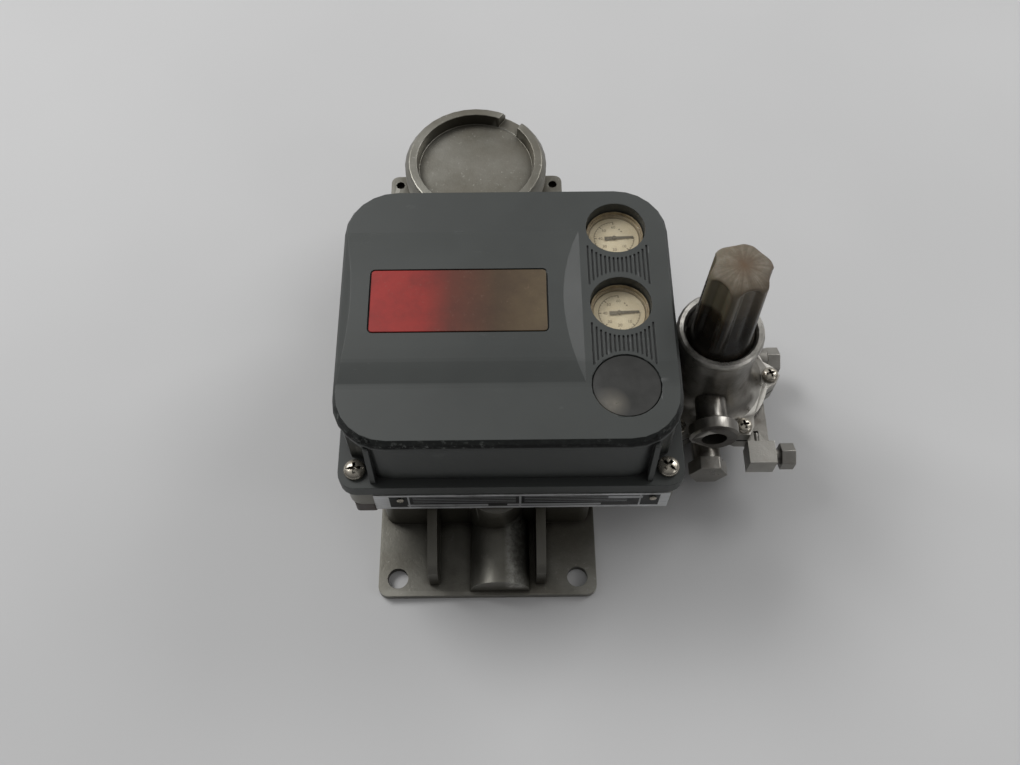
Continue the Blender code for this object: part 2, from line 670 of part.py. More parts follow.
def socket_screw(head_r, head_h, shank_r, length):
    """Socket cap screw along Z with the underside of its head at height 0."""
    body = turned([(0, -length), (shank_r, -length), (shank_r, 0), (head_r, 0), (head_r, 0.85 * head_h),
                   (0.9 * head_r, head_h), (0, head_h)], SMALL_COUNT + 2)
    socket = prism(hexagon(0.9 * head_r), 0.45 * head_h, head_h + 1)
    return cut(body, socket)


def build_label():
    """Thin plate on the lower side wall, with its two rivets."""
    wall = -TRAY_HALF_Y
    outline = [(LABEL_LEFT, LABEL_BOTTOM), (LABEL_RIGHT, LABEL_BOTTOM), (LABEL_RIGHT, LABEL_TOP),
               (LABEL_LEFT, LABEL_TOP)]
    near, far = wall - SEAT - LABEL_THICK, wall - SEAT
    plate = loft([[(x, y, z) for x, z in outline] for y in (near, far)])
    holes = [rod(RIVET_R + FIT, (x, near - 1, RIVET_Z), (x, far + 1, RIVET_Z), SMALL_COUNT) for x in RIVET_X]
    add_part("label_plate", cut(plate, *holes), "label")
    for name, x in zip(("label_rivet_left", "label_rivet_right"), RIVET_X):
        rivet = pan_screw(RIVET_HEAD_R, RIVET_HEAD_H, RIVET_R, LABEL_THICK + SEAT + 2.5, SMALL_COUNT + 2)
        add_part(name, aim(rivet, (0, -1, 0), (x, near - SEAT, RIVET_Z)), "label")


def build_vent():
    """Brown vent cap in the notch below the tray's corner."""
    right, front = PLATE_LEFT + BLOCK_INSET - SEAT, -TRAY_HALF_Y + SEAT
    back = -TRAY_HALF_Y + VENT_CAP_DEPTH - SEAT
    low = VENT_NOTCH_Z - VENT_CAP_HEIGHT
    cap = prism(span_rect(right - VENT_CAP_WIDTH, right, front, back, 1.6), low, VENT_NOTCH_Z - SEAT)
    middle = (right - VENT_CAP_WIDTH / 2, (front + back) / 2)
    bore = rod(VENT_CAP_WIDTH / 4, (*middle, low - PAST), (*middle, low + VENT_CAP_HEIGHT / 2), SMALL_COUNT)
    add_part("vent_cap", cut(cap, bore), "brown_plastic")


def build_sensor():
    """Travel sensor in the column and the feedback shaft that comes out of the back."""
    body = turned([(0, SENSOR_FLOOR + SEAT), (SENSOR_R, SENSOR_FLOOR + SEAT), (SENSOR_R, TRAY_FLOOR_Z - 2),
                   (SENSOR_R - 2, TRAY_FLOOR_Z), (0, TRAY_FLOOR_Z)], MEDIUM_COUNT, (COLUMN_X, COLUMN_Y))
    add_part("travel_sensor", body, "black_plastic")
    shaft = turned([(0, 2), (SHAFT_R + 1.6, 2), (SHAFT_R + 2, 2.5), (SHAFT_R + 2, RECESS_DEPTH - 0.5),
                    (SHAFT_R, RECESS_DEPTH - 0.5), (SHAFT_R, SENSOR_FLOOR), (0, SENSOR_FLOOR)],
                   MEDIUM_COUNT, (COLUMN_X, COLUMN_Y))
    flat = box((COLUMN_X + SHAFT_R, COLUMN_Y - 8, 1), (COLUMN_X + 9, COLUMN_Y + 8, RECESS_DEPTH - 2.5))
    add_part("feedback_shaft", cut(shaft, flat), "stainless", (COLUMN_X, COLUMN_Y, 0))


def build_module():
    """Module base with its seal and screws, and the modules that it carries."""
    seal = prism(well_outline(1.2), TRAY_LEDGE_Z + SEAT, TRAY_LEDGE_Z + SEAT + SEAL_THICK)
    opening = prism(plug_outline(-0.5), TRAY_LEDGE_Z - 1, BASE_TOP)
    screw_holes = [rod(SHANK_R + FIT, (x, y, TRAY_LEDGE_Z - 1), (x, y, BASE_TOP + 1), SMALL_COUNT)
                   for x, y in BASE_SCREWS]
    add_part("module_seal", cut(seal, opening, *screw_holes), "rubber")

    base = join(prism(well_outline(0.8), BASE_BOTTOM, BASE_TOP),
                prism(plug_outline(1.0), TRAY_FLOOR_Z + SEAT, BASE_BOTTOM + 1))
    sockets = [rod(STEM_R + FIT, (GAUGE_X, y, BASE_TOP - STEM_DEPTH), (GAUGE_X, y, BASE_TOP + PAST),
                   SMALL_COUNT + 2) for y in (*GAUGE_YS, BLANK_Y)]
    holes = [rod(SHANK_R + FIT, (x, y, BASE_BOTTOM - PAST), (x, y, BASE_TOP + PAST), SMALL_COUNT)
             for x, y in BASE_SCREWS]
    add_part("module_base", cut(base, *sockets, *holes), "cast_metal")
    for number, (x, y) in enumerate(BASE_SCREWS, 1):
        screw = socket_screw(SOCKET_HEAD_R, SOCKET_HEAD_H, SHANK_R, BASE_TOP - TRAY_LEDGE_Z + 5)
        add_part(f"module_screw_{number}", aim(screw, (0, 0, 1), (x, y, BASE_TOP + SEAT)), "stainless")

    foot = BASE_TOP + SEAT
    relay = join(prism(rounded_rect(RELAY_HALF_X, RELAY_HALF_Y, 3, (RELAY_X, RELAY_Y)), foot,
                       foot + 0.6 * RELAY_HEIGHT),
                 prism(rounded_rect(RELAY_HALF_X - RELAY_STEP, RELAY_HALF_Y - RELAY_STEP, 3,
                                    (RELAY_X, RELAY_Y)), foot + 0.5 * RELAY_HEIGHT, foot + RELAY_HEIGHT))
    add_part("pneumatic_relay", relay, "cast_metal")
    neck = CONVERTER_R - CONVERTER_STEP
    converter = turned([(0, foot), (CONVERTER_R, foot), (CONVERTER_R, foot + 0.6 * CONVERTER_HEIGHT),
                        (neck, foot + 0.72 * CONVERTER_HEIGHT), (neck, foot + CONVERTER_HEIGHT),
                        (0, foot + CONVERTER_HEIGHT)], FINE_COUNT, (CONVERTER_X, CONVERTER_Y))
    add_part("pressure_converter", converter, "stainless")
    module = prism(rounded_rect(BOARD_HALF_X, BOARD_HALF_Y, 4, (BOARD_X, 0)), foot, foot + BOARD_HEIGHT)
    window = prism(rounded_rect(BOARD_HALF_X - WINDOW_INSET, BOARD_HALF_Y - WINDOW_INSET, 2, (BOARD_X, 0)),
                   foot + BOARD_HEIGHT - WINDOW_DEPTH, foot + BOARD_HEIGHT + PAST)
    add_part("electronics_module", cut(module, window), "black_plastic")
    plug = join(prism(hexagon(SPARE_FLATS), foot, foot + SPARE_HEX),
                rod(STEM_R, (0, 0, BASE_TOP - STEM_DEPTH + SEAT), (0, 0, foot + PAST), SMALL_COUNT))
    add_part("spare_port_plug", aim(plug, (0, 0, 1), (GAUGE_X, BLANK_Y, 0)), "stainless")


def build_gauge(name, y, parent):
    """Pressure gauge: case on its stem, dial, needle and lens."""
    bore = CASE_R - CASE_RIM
    stem = STEM_R + 2.5
    case = turned([(0, BASE_TOP - STEM_DEPTH + SEAT), (STEM_R, BASE_TOP - STEM_DEPTH + SEAT),
                   (STEM_R, BASE_TOP + SEAT), (stem, BASE_TOP + SEAT), (stem, GAUGE_TOP - CASE_DEPTH - 3),
                   (CASE_R, GAUGE_TOP - CASE_DEPTH), (CASE_R, GAUGE_TOP - 0.4), (CASE_R - 0.3, GAUGE_TOP),
                   (bore, GAUGE_TOP), (bore, LENS_LEDGE), (DIAL_R + FIT, LENS_LEDGE),
                   (DIAL_R + FIT, CUP_FLOOR), (0, CUP_FLOOR)], FINE_COUNT, (GAUGE_X, y))
    add_part(f"gauge_case_{name}", case, "bezel")
    dial_top = CUP_FLOOR + SEAT + DIAL_THICK
    dial = turned([(SPINDLE_HOLE_R, CUP_FLOOR + SEAT), (DIAL_R, CUP_FLOOR + SEAT), (DIAL_R, dial_top),
                   (SPINDLE_HOLE_R, dial_top)], FINE_COUNT, (GAUGE_X, y))
    add_part(f"gauge_dial_{name}", dial, "dial")
    lens = turned([(0, LENS_LEDGE + SEAT), (bore - FIT, LENS_LEDGE + SEAT),
                   (bore - FIT, LENS_LEDGE + SEAT + LENS_THICK), (0, LENS_LEDGE + SEAT + LENS_THICK)],
                  FINE_COUNT, (GAUGE_X, y))
    add_part(f"gauge_lens_{name}", lens, "lens")
    needle_z = dial_top + 0.5
    tip, tail = GAUGE_X + NEEDLE_LENGTH, GAUGE_X - NEEDLE_TAIL
    waist = GAUGE_X - HUB_R
    pointer = [(tail, y - 0.9), (waist, y - 0.5), (tip, y - 0.15),
               (tip, y + 0.15), (waist, y + 0.5), (tail, y + 0.9)]
    spindle = turned([(0, CUP_FLOOR + SEAT), (HUB_R / 2, CUP_FLOOR + SEAT), (HUB_R / 2, needle_z - 0.2),
                      (HUB_R, needle_z - 0.2), (HUB_R, needle_z + 0.7), (0, needle_z + 0.7)],
                     SMALL_COUNT, (GAUGE_X, y))
    needle = join(prism(pointer, needle_z, needle_z + 0.4), spindle)
    add_part(f"gauge_needle_{name}", needle, "needle", (GAUGE_X, y, needle_z), parent)


def crown_height(y):
    """Rise of the crowned face above the gauge strip, an arch over its length."""
    middle = (CROWN_FRONT + CROWN_BACK) / 2
    half = (CROWN_BACK - CROWN_FRONT) / 2
    along = (y - middle) / half
    return CROWN_RISE * max(0.0, 1 - along * along)


def crown_cutter():
    """Everything above the cover's face: arch on the left, sloping facet, flat gauge strip."""
    far = FLANGE_HALF_X + 10
    steps = 10
    ys = [-far] + [CROWN_FRONT + (CROWN_BACK - CROWN_FRONT) * i / steps for i in range(steps + 1)] + [far]
    rings = []
    for y in ys:
        rise = crown_height(y)
        slant = max(rise / STRIP_SLOPE, 0.2)
        top = COVER_FACE_Z + 30
        rings.append([(-far, y, COVER_FACE_Z + rise), (STRIP_X - slant, y, COVER_FACE_Z + rise),
                      (STRIP_X, y, COVER_FACE_Z), (far, y, COVER_FACE_Z), (far, y, top), (-far, y, top)])
    return loft(rings)


def cover_ring(z, inset, corner, lean=COVER_LEAN):
    return [(x - lean, y, z)
            for x, y in rounded_rect(COVER_HALF_X - inset, COVER_HALF_Y - inset, corner, steps=6)]


def face_grooves():
    """Fine grooves of the gauge strip, fitted between the round openings."""
    grooves = []
    span = GAUGE_PITCH / 2
    for middle in (GAUGE_Y + span, GAUGE_Y - span):
        for i in range(RIB_COUNT):
            x = (i - (RIB_COUNT - 1) / 2) * RIB_PITCH
            arc = math.sqrt(max((BLANK_R + RIB_MARGIN) ** 2 - x * x, 0.0))
            reach = span - arc
            if reach > 1:
                grooves.append(box((GAUGE_X + x - RIB_WIDTH / 2, middle - reach, COVER_FACE_Z - RIB_DEPTH),
                                   (GAUGE_X + x + RIB_WIDTH / 2, middle + reach, COVER_FACE_Z + 1)))
    return grooves


def build_cover():
    """Moulded front cover: crowned shell, flange with its lip, screw pockets, fins and openings."""
    drop = COVER_FACE_Z - COVER_EDGE
    top = COVER_FACE_Z + CROWN_RISE + 2
    shell = loft([cover_ring(FLANGE_TOP - PAST, COVER_LEDGE, COVER_CORNER, COVER_LEAN / 2),
                  cover_ring(drop - 1.6, COVER_DRAFT + COVER_LEDGE, COVER_CORNER),
                  cover_ring(drop - 0.9, COVER_DRAFT, COVER_CORNER),
                  cover_ring(drop, COVER_DRAFT, COVER_CORNER),
                  cover_ring(drop + 3, COVER_DRAFT + 0.6, COVER_CORNER),
                  cover_ring(COVER_FACE_Z, COVER_DRAFT + 2.0, COVER_CORNER - 1.5),
                  cover_ring(COVER_FACE_Z + 2, COVER_DRAFT + 4.0, COVER_CORNER - 3),
                  cover_ring(top, COVER_DRAFT + 9.0, COVER_CORNER - 8)])
    shell = cut(shell, crown_cutter())
    lip_bottom = COVER_BOTTOM - LIP_DEPTH
    flange = prism(rounded_rect(FLANGE_HALF_X, FLANGE_HALF_Y, FLANGE_CORNER), lip_bottom, FLANGE_TOP)
    fins = []
    for side_x in (-1, 1):
        for side_y in (-1, 1):
            outer = COVER_HALF_Y - 2 + FIN_REACH
            outline = [(side_y * (outer - 8), FLANGE_TOP - 1), (side_y * outer, FLANGE_TOP - 1),
                       (side_y * outer, FLANGE_TOP + 4), (side_y * (outer - 2.2), FLANGE_TOP + FIN_HEIGHT),
                       (side_y * (outer - 8), FLANGE_TOP + FIN_HEIGHT)]
            middle = side_x * FIN_X
            fins.append(side_prism(outline, middle - FIN_THICK / 2, middle + FIN_THICK / 2))
    shell = join(shell, flange, *fins)

    lip_room = prism(rounded_rect(TRAY_HALF_X + FIT, TRAY_HALF_Y + FIT, TRAY_CORNER + FIT),
                     lip_bottom - 1, COVER_BOTTOM)
    inside = loft([[(x, y, COVER_BOTTOM - 1) for x, y in well_outline()],
                   [(x, y, ROOF_Z - 3) for x, y in well_outline(COVER_DRAFT)],
                   [(x, y, ROOF_Z) for x, y in well_outline(COVER_DRAFT + 3)]])
    shell = cut(shell, lip_room, inside)
    collars = [rod(CASE_R + FIT + 2.6, (GAUGE_X, y, ROOF_Z - 6), (GAUGE_X, y, ROOF_Z + 1), FINE_COUNT)
               for y in GAUGE_YS]
    shell = join(shell, *collars)

    cuts = [rod(CASE_R + FIT, (GAUGE_X, y, ROOF_Z - 8), (GAUGE_X, y, COVER_FACE_Z + PAST), FINE_COUNT)
            for y in GAUGE_YS]
    cuts.append(rod(BLANK_R + FIT, (GAUGE_X, BLANK_Y, COVER_FACE_Z - BLANK_THICK - SEAT),
                    (GAUGE_X, BLANK_Y, COVER_FACE_Z + 1), FINE_COUNT))
    cuts.append(rod(BLANK_R - 2.5, (GAUGE_X, BLANK_Y, ROOF_Z - 2), (GAUGE_X, BLANK_Y, COVER_FACE_Z),
                    FINE_COUNT))
    for x, y in corners():
        cuts.append(rod(POCKET_R, (x, y, FLANGE_TOP), (x, y, FLANGE_TOP + POCKET_HEIGHT)))
        cuts.append(rod(SHANK_R + FIT, (x, y, lip_bottom - 1), (x, y, FLANGE_TOP + 1), SMALL_COUNT))
    bed = COVER_FACE_Z + CROWN_RISE - NAME_SINK - NAME_THICK - SEAT
    cuts.append(prism(rounded_rect(NAME_HALF_X + NAME_GROOVE, NAME_HALF_Y + NAME_GROOVE,
                                   NAME_CORNER + NAME_GROOVE, (NAME_X, NAME_Y), 3), bed, bed + 9))
    shell = cut(shell, *cuts, *face_grooves())
    cover = add_part("front_cover", shell, "cover_plastic")

    plate = prism(rounded_rect(NAME_HALF_X, NAME_HALF_Y, NAME_CORNER, (NAME_X, NAME_Y), 3),
                  bed + SEAT, bed + SEAT + NAME_THICK)
    add_part("cover_nameplate", plate, "nameplate", parent=cover)
    ledge = COVER_FACE_Z - BLANK_THICK
    blank = turned([(0, ledge), (BLANK_R, ledge), (BLANK_R, COVER_FACE_Z - 0.4), (0, COVER_FACE_Z - 0.2)],
                   FINE_COUNT, (GAUGE_X, BLANK_Y))
    add_part("blank_window", blank, "cover_plastic", parent=cover)
    for number, (x, y) in enumerate(corners(), 1):
        screw = pan_screw(SCREW_HEAD_R, SCREW_HEAD_H, SHANK_R, FLANGE_TOP + SEAT - TRAY_TOP + 12)
        add_part(f"cover_screw_{number}", aim(screw, (0, 0, 1), (x, y, FLANGE_TOP + SEAT)), "stainless",
                 (x, y, FLANGE_TOP), cover)

    seal = prism(rounded_rect(TRAY_HALF_X - 0.6, TRAY_HALF_Y - 0.6, TRAY_CORNER), TRAY_TOP + SEAT, GASKET_TOP)
    opening = prism(well_outline(-0.4), TRAY_TOP, GASKET_TOP + 1)
    holes = [rod(SHANK_R + FIT, (x, y, TRAY_TOP), (x, y, GASKET_TOP + 1), SMALL_COUNT) for x, y in corners()]
    add_part("cover_seal", cut(seal, opening, *holes), "rubber")


def build_terminal_cap():
    """Screw cap with a raised, gapped rim, its seal and the terminal board under it."""
    inner = CAP_R - CAP_RIM
    centre = (BOX_X, BOX_Y)
    floor = CAP_TOP - CAP_DEPTH
    profile = [(0, floor - CAP_ROOF), (inner, floor - CAP_ROOF), (inner, CAP_BOTTOM),
               (CAP_R - 0.6, CAP_BOTTOM), (CAP_R, CAP_BOTTOM + 0.6), (CAP_R, CAP_TOP - 3.4),
               (CAP_R - 1.6, CAP_TOP - 0.8),
               (CAP_R - 2.4, CAP_TOP), (inner - 1.2, CAP_TOP), (inner - 2.0, floor), (0, floor)]
    cap = turned(profile, FINE_COUNT + 6, centre)
    gap = box((-CAP_R - 2, -CAP_GAP_WIDTH / 2, floor + 0.6), (CAP_R + 2, CAP_GAP_WIDTH / 2, CAP_TOP + 1))
    gap.transform(Matrix.Translation((*centre, 0)) @ Matrix.Rotation(math.radians(CAP_GAP_ANGLE), 4, "Z"))
    cap_part = add_part("terminal_cap", cut(cap, gap), "cast_metal", (*centre, CAP_BOTTOM))
    low, high = BOX_TOP + SEAT, BOX_TOP + SEAT + SEAL_THICK
    ring = turned([(NECK_R + FIT, low), (BOX_SHOULDER_R - 1, low), (BOX_SHOULDER_R - 1, high),
                   (NECK_R + FIT, high)], FINE_COUNT, centre)
    add_part("terminal_cap_seal", ring, "rubber", parent=cap_part)
    foot = BOX_BOTTOM + BOX_FLOOR + SEAT
    top = foot + BOARD_THICK
    board = turned([(0, foot), (BOARD_R, foot), (BOARD_R, top), (0, top)], FINE_COUNT, centre)
    blocks = [box((BOX_X - BLOCK_HALF_X, BOX_Y + y - BLOCK_HALF_Y, foot + BOARD_THICK / 2),
                  (BOX_X + BLOCK_HALF_X, BOX_Y + y + BLOCK_HALF_Y, foot + BLOCK_HEIGHT))
              for y in (-BLOCK_OFFSET, BLOCK_OFFSET)]
    add_part("terminal_board", join(board, *blocks), "black_plastic")


def build_spring_case():
    """Regulator's upper casting: flared barrel with an open mouth, lobed flange and vent boss."""
    centre = (REG_X, REG_Y)
    hole = SCREW_R + FIT
    bore = BARREL_BORE_R
    web_low = WEB_Z - WEB_THICK
    flange_low = CASE_BOTTOM_Z + 1
    barrel = turned([(hole, web_low), (hole, WEB_Z), (bore, WEB_Z), (bore, MOUTH_Z - 1.6),
                     (bore + 1.0, MOUTH_Z - 0.3), (BARREL_R - 0.4, MOUTH_Z),
                     (BARREL_R + 0.6, MOUTH_Z - 0.8), (BARREL_R + 0.9, MOUTH_Z - 2.4),
                     (BARREL_R + 0.5, MOUTH_Z - 4.2), (BARREL_R - 0.4, MOUTH_Z - 5.6),
                     (BARREL_R, CASE_FLANGE_Z + 24), (BARREL_R + 0.6, CASE_FLANGE_Z + 13),
                     (BARREL_R + 2.2, CASE_FLANGE_Z + 7), (BARREL_R + 5, CASE_FLANGE_Z + 2.6),
                     (SCREW_ROOM_R, CASE_FLANGE_Z), (SCREW_ROOM_R, flange_low), (bore, flange_low),
                     (bore, web_low - 3), (bore - 3, web_low)], FINE_COUNT, centre)
    flange = cut(prism(lobed(centre), CASE_BOTTOM_Z, CASE_FLANGE_Z),
                 rod(bore + 2, (*centre, CASE_BOTTOM_Z - PAST), (*centre, CASE_FLANGE_Z + PAST), FINE_COUNT))
    neck = rod(VENT_NECK_R, (VENT_X, REG_Y - BARREL_R + 2, VENT_Z), (VENT_X, VENT_END_Y + 5, VENT_Z),
               MEDIUM_COUNT + 4)
    collar = turned([(0, 0), (VENT_COLLAR_R - 1.2, 0), (VENT_COLLAR_R, 1.2),
                     (VENT_COLLAR_R, VENT_COLLAR_LENGTH - 3), (VENT_NECK_R, VENT_COLLAR_LENGTH),
                     (0, VENT_COLLAR_LENGTH)], MEDIUM_COUNT + 4)
    aim(collar, (0, 1, 0), (VENT_X, VENT_END_Y, VENT_Z))
    flat = box((-VENT_COLLAR_R - PAST, -PAST, -VENT_COLLAR_R - PAST),
               (VENT_COLLAR_R + PAST, VENT_COLLAR_LENGTH + PAST, -VENT_COLLAR_R + VENT_COLLAR_FLAT))
    lean = Matrix.Rotation(math.radians(VENT_FLAT_DEG), 4, "Y")
    flat.transform(Matrix.Translation((VENT_X, VENT_END_Y, VENT_Z)) @ lean)
    collar = cut(collar, flat)
    case = join(barrel, flange, neck, collar)
    vent = rod(VENT_HOLE_R, (VENT_X, VENT_END_Y - PAST, VENT_Z),
               (VENT_X, VENT_END_Y + VENT_HOLE_DEPTH, VENT_Z))
    bleed = rod(VENT_BLEED_R, (VENT_X, VENT_END_Y + VENT_HOLE_DEPTH - 3, VENT_Z),
                (VENT_X, REG_Y - BARREL_BORE_R + 5, VENT_Z), SMALL_COUNT)
    return add_part("spring_case", cut(case, vent, bleed, *flange_holes()), "stainless")


def flange_points():
    points = []
    for i in range(6):
        angle = math.radians(60 * i)
        points.append((REG_X + LOBE_CIRCLE_R * math.cos(angle), REG_Y + LOBE_CIRCLE_R * math.sin(angle)))
    return points


def flange_holes(depth=5.0):
    """Six screw holes through the spring case, the diaphragm and into the body."""
    return [rod(SHANK_R + FIT, (x, y, BODY_TOP - depth), (x, y, CASE_FLANGE_Z + PAST), SMALL_COUNT)
            for x, y in flange_points()]


def build_regulator_body():
    """Regulator's lower casting with its ports, mounting ears and valve bore."""
    centre = (REG_X, REG_Y)
    disc = prism(lobed(centre), BODY_TOP - BODY_DISC, BODY_TOP)
    drum = turned([(0, BODY_BOTTOM), (BODY_R, BODY_BOTTOM), (BODY_R, BODY_TOP - 9),
                   (BODY_R + 4, BODY_TOP - 5), (0, BODY_TOP - 5)], FINE_COUNT, centre)
    face = PORT_FACE_X + SEAT
    ears = prism(span_rect(face, face + EAR_THICK, REG_Y - EAR_SPREAD - EAR_END,
                           REG_Y + EAR_SPREAD + EAR_END, 1.5, 2),
                 BODY_BOTTOM, BODY_TOP - 1)
    waist = box((face + 4, REG_Y - 18, BODY_BOTTOM + 1), (REG_X, REG_Y + 18, BODY_TOP - 2))
    front = rod(FRONT_PORT_R, (FRONT_PORT_X, REG_Y - 7, FRONT_PORT_Z),
                (FRONT_PORT_X, FRONT_PORT_Y, FRONT_PORT_Z))
    inlet = rod(INLET_R, (REG_X + 7, INLET_Y, INLET_Z), (INLET_X, INLET_Y, INLET_Z))
    arm = box((DRAIN_X - 5, DRAIN_Y + DRAIN_HALF + SEAT, BODY_TOP - 9), (DRAIN_X + 6, REG_Y, BODY_TOP - 1.2))
    body = join(drum, disc, waist, ears, front, inlet, arm)

    pressure = rod(PRESSURE_R, (*centre, BODY_TOP - 2.6), (*centre, BODY_TOP + PAST), FINE_COUNT)
    stem = rod(STEM_HOLE_R, (*centre, BODY_BOTTOM), (*centre, BODY_TOP - 1), SMALL_COUNT)
    valve_room = rod(VALVE_ROOM_R, (*centre, BODY_BOTTOM - PAST), (*centre, SEAT_Z))
    outlet = rod(PORT_R, (face - PAST, PORT_Y, MOUNT_Z), (face + 20, PORT_Y, MOUNT_Z), SMALL_COUNT)
    groove = turned([(PORT_R + 0.9, -PAST), (PORT_R + 3.6, -PAST), (PORT_R + 3.6, 1.6), (PORT_R + 0.9, 1.6)])
    aim(groove, (1, 0, 0), (face, PORT_Y, MOUNT_Z))
    mounts = [rod(SHANK_R + FIT, (face - PAST, REG_Y + side * EAR_SPREAD, MOUNT_Z),
                  (face + EAR_THICK + PAST, REG_Y + side * EAR_SPREAD, MOUNT_Z), SMALL_COUNT)
              for side in (-1, 1)]
    ports = [rod(FRONT_BORE_R + FIT, (FRONT_PORT_X, FRONT_PORT_Y - PAST, FRONT_PORT_Z),
                 (FRONT_PORT_X, FRONT_PORT_Y + 11, FRONT_PORT_Z)),
             rod(FITTING_STUD_R + FIT, (INLET_X - 9, INLET_Y, INLET_Z), (INLET_X + PAST, INLET_Y, INLET_Z),
                 SMALL_COUNT),
             rod(DRAIN_STUD_R + FIT, (DRAIN_X, DRAIN_Y + DRAIN_HALF - 1, DRAIN_STUD_Z),
                 (DRAIN_X, DRAIN_Y + DRAIN_HALF + 9, DRAIN_STUD_Z), SMALL_COUNT)]
    screws = [rod(SHANK_R + FIT, (x, y, BODY_TOP - 5), (x, y, BODY_TOP + PAST), SMALL_COUNT)
              for x, y in flange_points()]
    body = cut(body, pressure, stem, valve_room, outlet, groove, *mounts, *ports, *screws)
    add_part("regulator_body", body, "stainless")

    ring = turned([(PORT_R + 1.2, 0), (PORT_R + 3.3, 0), (PORT_R + 3.3, 1.3), (PORT_R + 1.2, 1.3)])
    add_part("regulator_seal", aim(ring, (1, 0, 0), (face, PORT_Y, MOUNT_Z)), "rubber")
    for name, side in (("front", -1), ("back", 1)):
        screw = socket_screw(SOCKET_HEAD_R, SOCKET_HEAD_H, SHANK_R, EAR_THICK + 10)
        place = (face + EAR_THICK + SEAT, REG_Y + side * EAR_SPREAD, MOUNT_Z)
        add_part(f"regulator_screw_{name}", aim(screw, (1, 0, 0), place), "stainless")


def build_spring():
    """Coil spring between the diaphragm's plate and the spring seat."""
    low, high = SPRING_BOTTOM + WIRE_R, SPRING_TOP - WIRE_R
    curve = bpy.data.curves.new("regulator_spring", "CURVE")
    curve.dimensions = "3D"
    curve.bevel_depth = WIRE_R * MM
    curve.bevel_resolution = 0
    curve.use_fill_caps = True
    line = curve.splines.new("POLY")
    count = COIL_COUNT * 12
    line.points.add(count)
    for i, point in enumerate(line.points):
        share = i / count
        angle = math.tau * COIL_COUNT * share
        point.co = (MM * SPRING_R * math.cos(angle), MM * SPRING_R * math.sin(angle),
                    MM * (low + (high - low) * share), 1)
    curve.materials.append(material("spring_steel"))
    spring = bpy.data.objects.new("regulator_spring", curve)
    spring.location = (REG_X * MM, REG_Y * MM, 0)
    bpy.context.collection.objects.link(spring)


def build_adjuster():
    """Spring seat, adjusting screw with its slot, and lock nut."""
    centre = (REG_X, REG_Y)
    top = WEB_Z - WEB_THICK
    rim = SPRING_R + WIRE_R + 1.1
    seat = turned([(0, SPRING_TOP + SEAT), (rim, SPRING_TOP + SEAT), (rim, SPRING_TOP + 2.3),
                   (rim / 2, SPRING_TOP + 3.5), (rim / 2, top - 1.6), (0, top - 1.6)], MEDIUM_COUNT, centre)
    seat_part = add_part("spring_seat", seat, "stainless", (*centre, SPRING_TOP))
    screw = turned([(0, top - 1.3), (SCREW_R - 1, top - 1.3), (SCREW_R, top), (SCREW_R, SCREW_TOP - 1),
                    (SCREW_R - 1, SCREW_TOP), (0, SCREW_TOP)], SMALL_COUNT + 2, centre)
    slot = box((REG_X - 0.7, REG_Y - SCREW_R - PAST, SCREW_TOP - 2.4),
               (REG_X + 0.7, REG_Y + SCREW_R + PAST, SCREW_TOP + PAST))
    add_part("adjusting_screw", cut(screw, slot), "stainless", (*centre, SCREW_TOP), seat_part)
    nut = prism(hexagon(LOCK_NUT_FLATS), WEB_Z + SEAT, WEB_Z + SEAT + LOCK_NUT_THICK)
    nut = aim(nut, (0, 0, 1), (*centre, 0))
    nut_hole = rod(SCREW_R + FIT, (*centre, WEB_Z), (*centre, WEB_Z + 6), SMALL_COUNT + 2)
    add_part("lock_nut", cut(nut, nut_hole), "stainless")


def build_regulator_inside():
    """Diaphragm, valve plug, filter and dripwell."""
    centre = (REG_X, REG_Y)
    sheet = prism(lobed(centre), DIAPHRAGM_Z, DIAPHRAGM_Z + DIAPHRAGM_THICK)
    plate = rod(SPRING_R + 2, (*centre, DIAPHRAGM_Z + 0.5), (*centre, SPRING_BOTTOM - SEAT))
    holes = [rod(SHANK_R + FIT, (x, y, DIAPHRAGM_Z - PAST), (x, y, DIAPHRAGM_Z + 3), SMALL_COUNT)
             for x, y in flange_points()]
    add_part("diaphragm", join(cut(sheet, *holes), plate), "rubber")
    stem_r = STEM_HOLE_R - 0.4
    plug = turned([(0, SEAT_Z - 3.4), (4, SEAT_Z - 3.4), (5, SEAT_Z - 2.6), (5, SEAT_Z - SEAT),
                   (stem_r, SEAT_Z - SEAT), (stem_r, DIAPHRAGM_Z - SEAT), (0, DIAPHRAGM_Z - SEAT)],
                  SMALL_COUNT, centre)
    add_part("valve_plug", plug, "stainless", (*centre, SEAT_Z))

    well_top = BODY_BOTTOM - SEAT
    well_low = well_top - DRIPWELL_DEPTH
    inner = DRIPWELL_R - DRIPWELL_WALL
    well = turned([(0, well_low), (DRIPWELL_R - DRIPWELL_ROUND, well_low),
                   (DRIPWELL_R, well_low + DRIPWELL_ROUND),
                   (DRIPWELL_R, well_top), (inner, well_top), (inner, well_low + DRIPWELL_WALL),
                   (0, well_low + DRIPWELL_WALL)], FINE_COUNT, centre)
    add_part("dripwell", well, "stainless")
    filter_low = well_low + DRIPWELL_WALL + SEAT
    outer, bore = inner - 2.5, inner - 9.5
    element = turned([(bore, filter_low), (outer, filter_low), (outer, well_top), (bore, well_top)],
                     MEDIUM_COUNT + 6, centre)
    add_part("filter_element", element, "filter_media")


def fluted_ring(z, radius, depth, count=48):
    """Ring with broad hollow flutes between narrower ridges."""
    ring = []
    for i in range(count):
        angle = math.tau * i / count
        off = angle - math.radians(FLUTE_PHASE_DEG)
        ridge = abs(math.cos(off * FLUTE_COUNT / 2)) ** 1.5
        reach = radius - depth * (1 - ridge)
        ring.append((REG_X + reach * math.cos(angle), REG_Y + reach * math.sin(angle), z))
    return ring


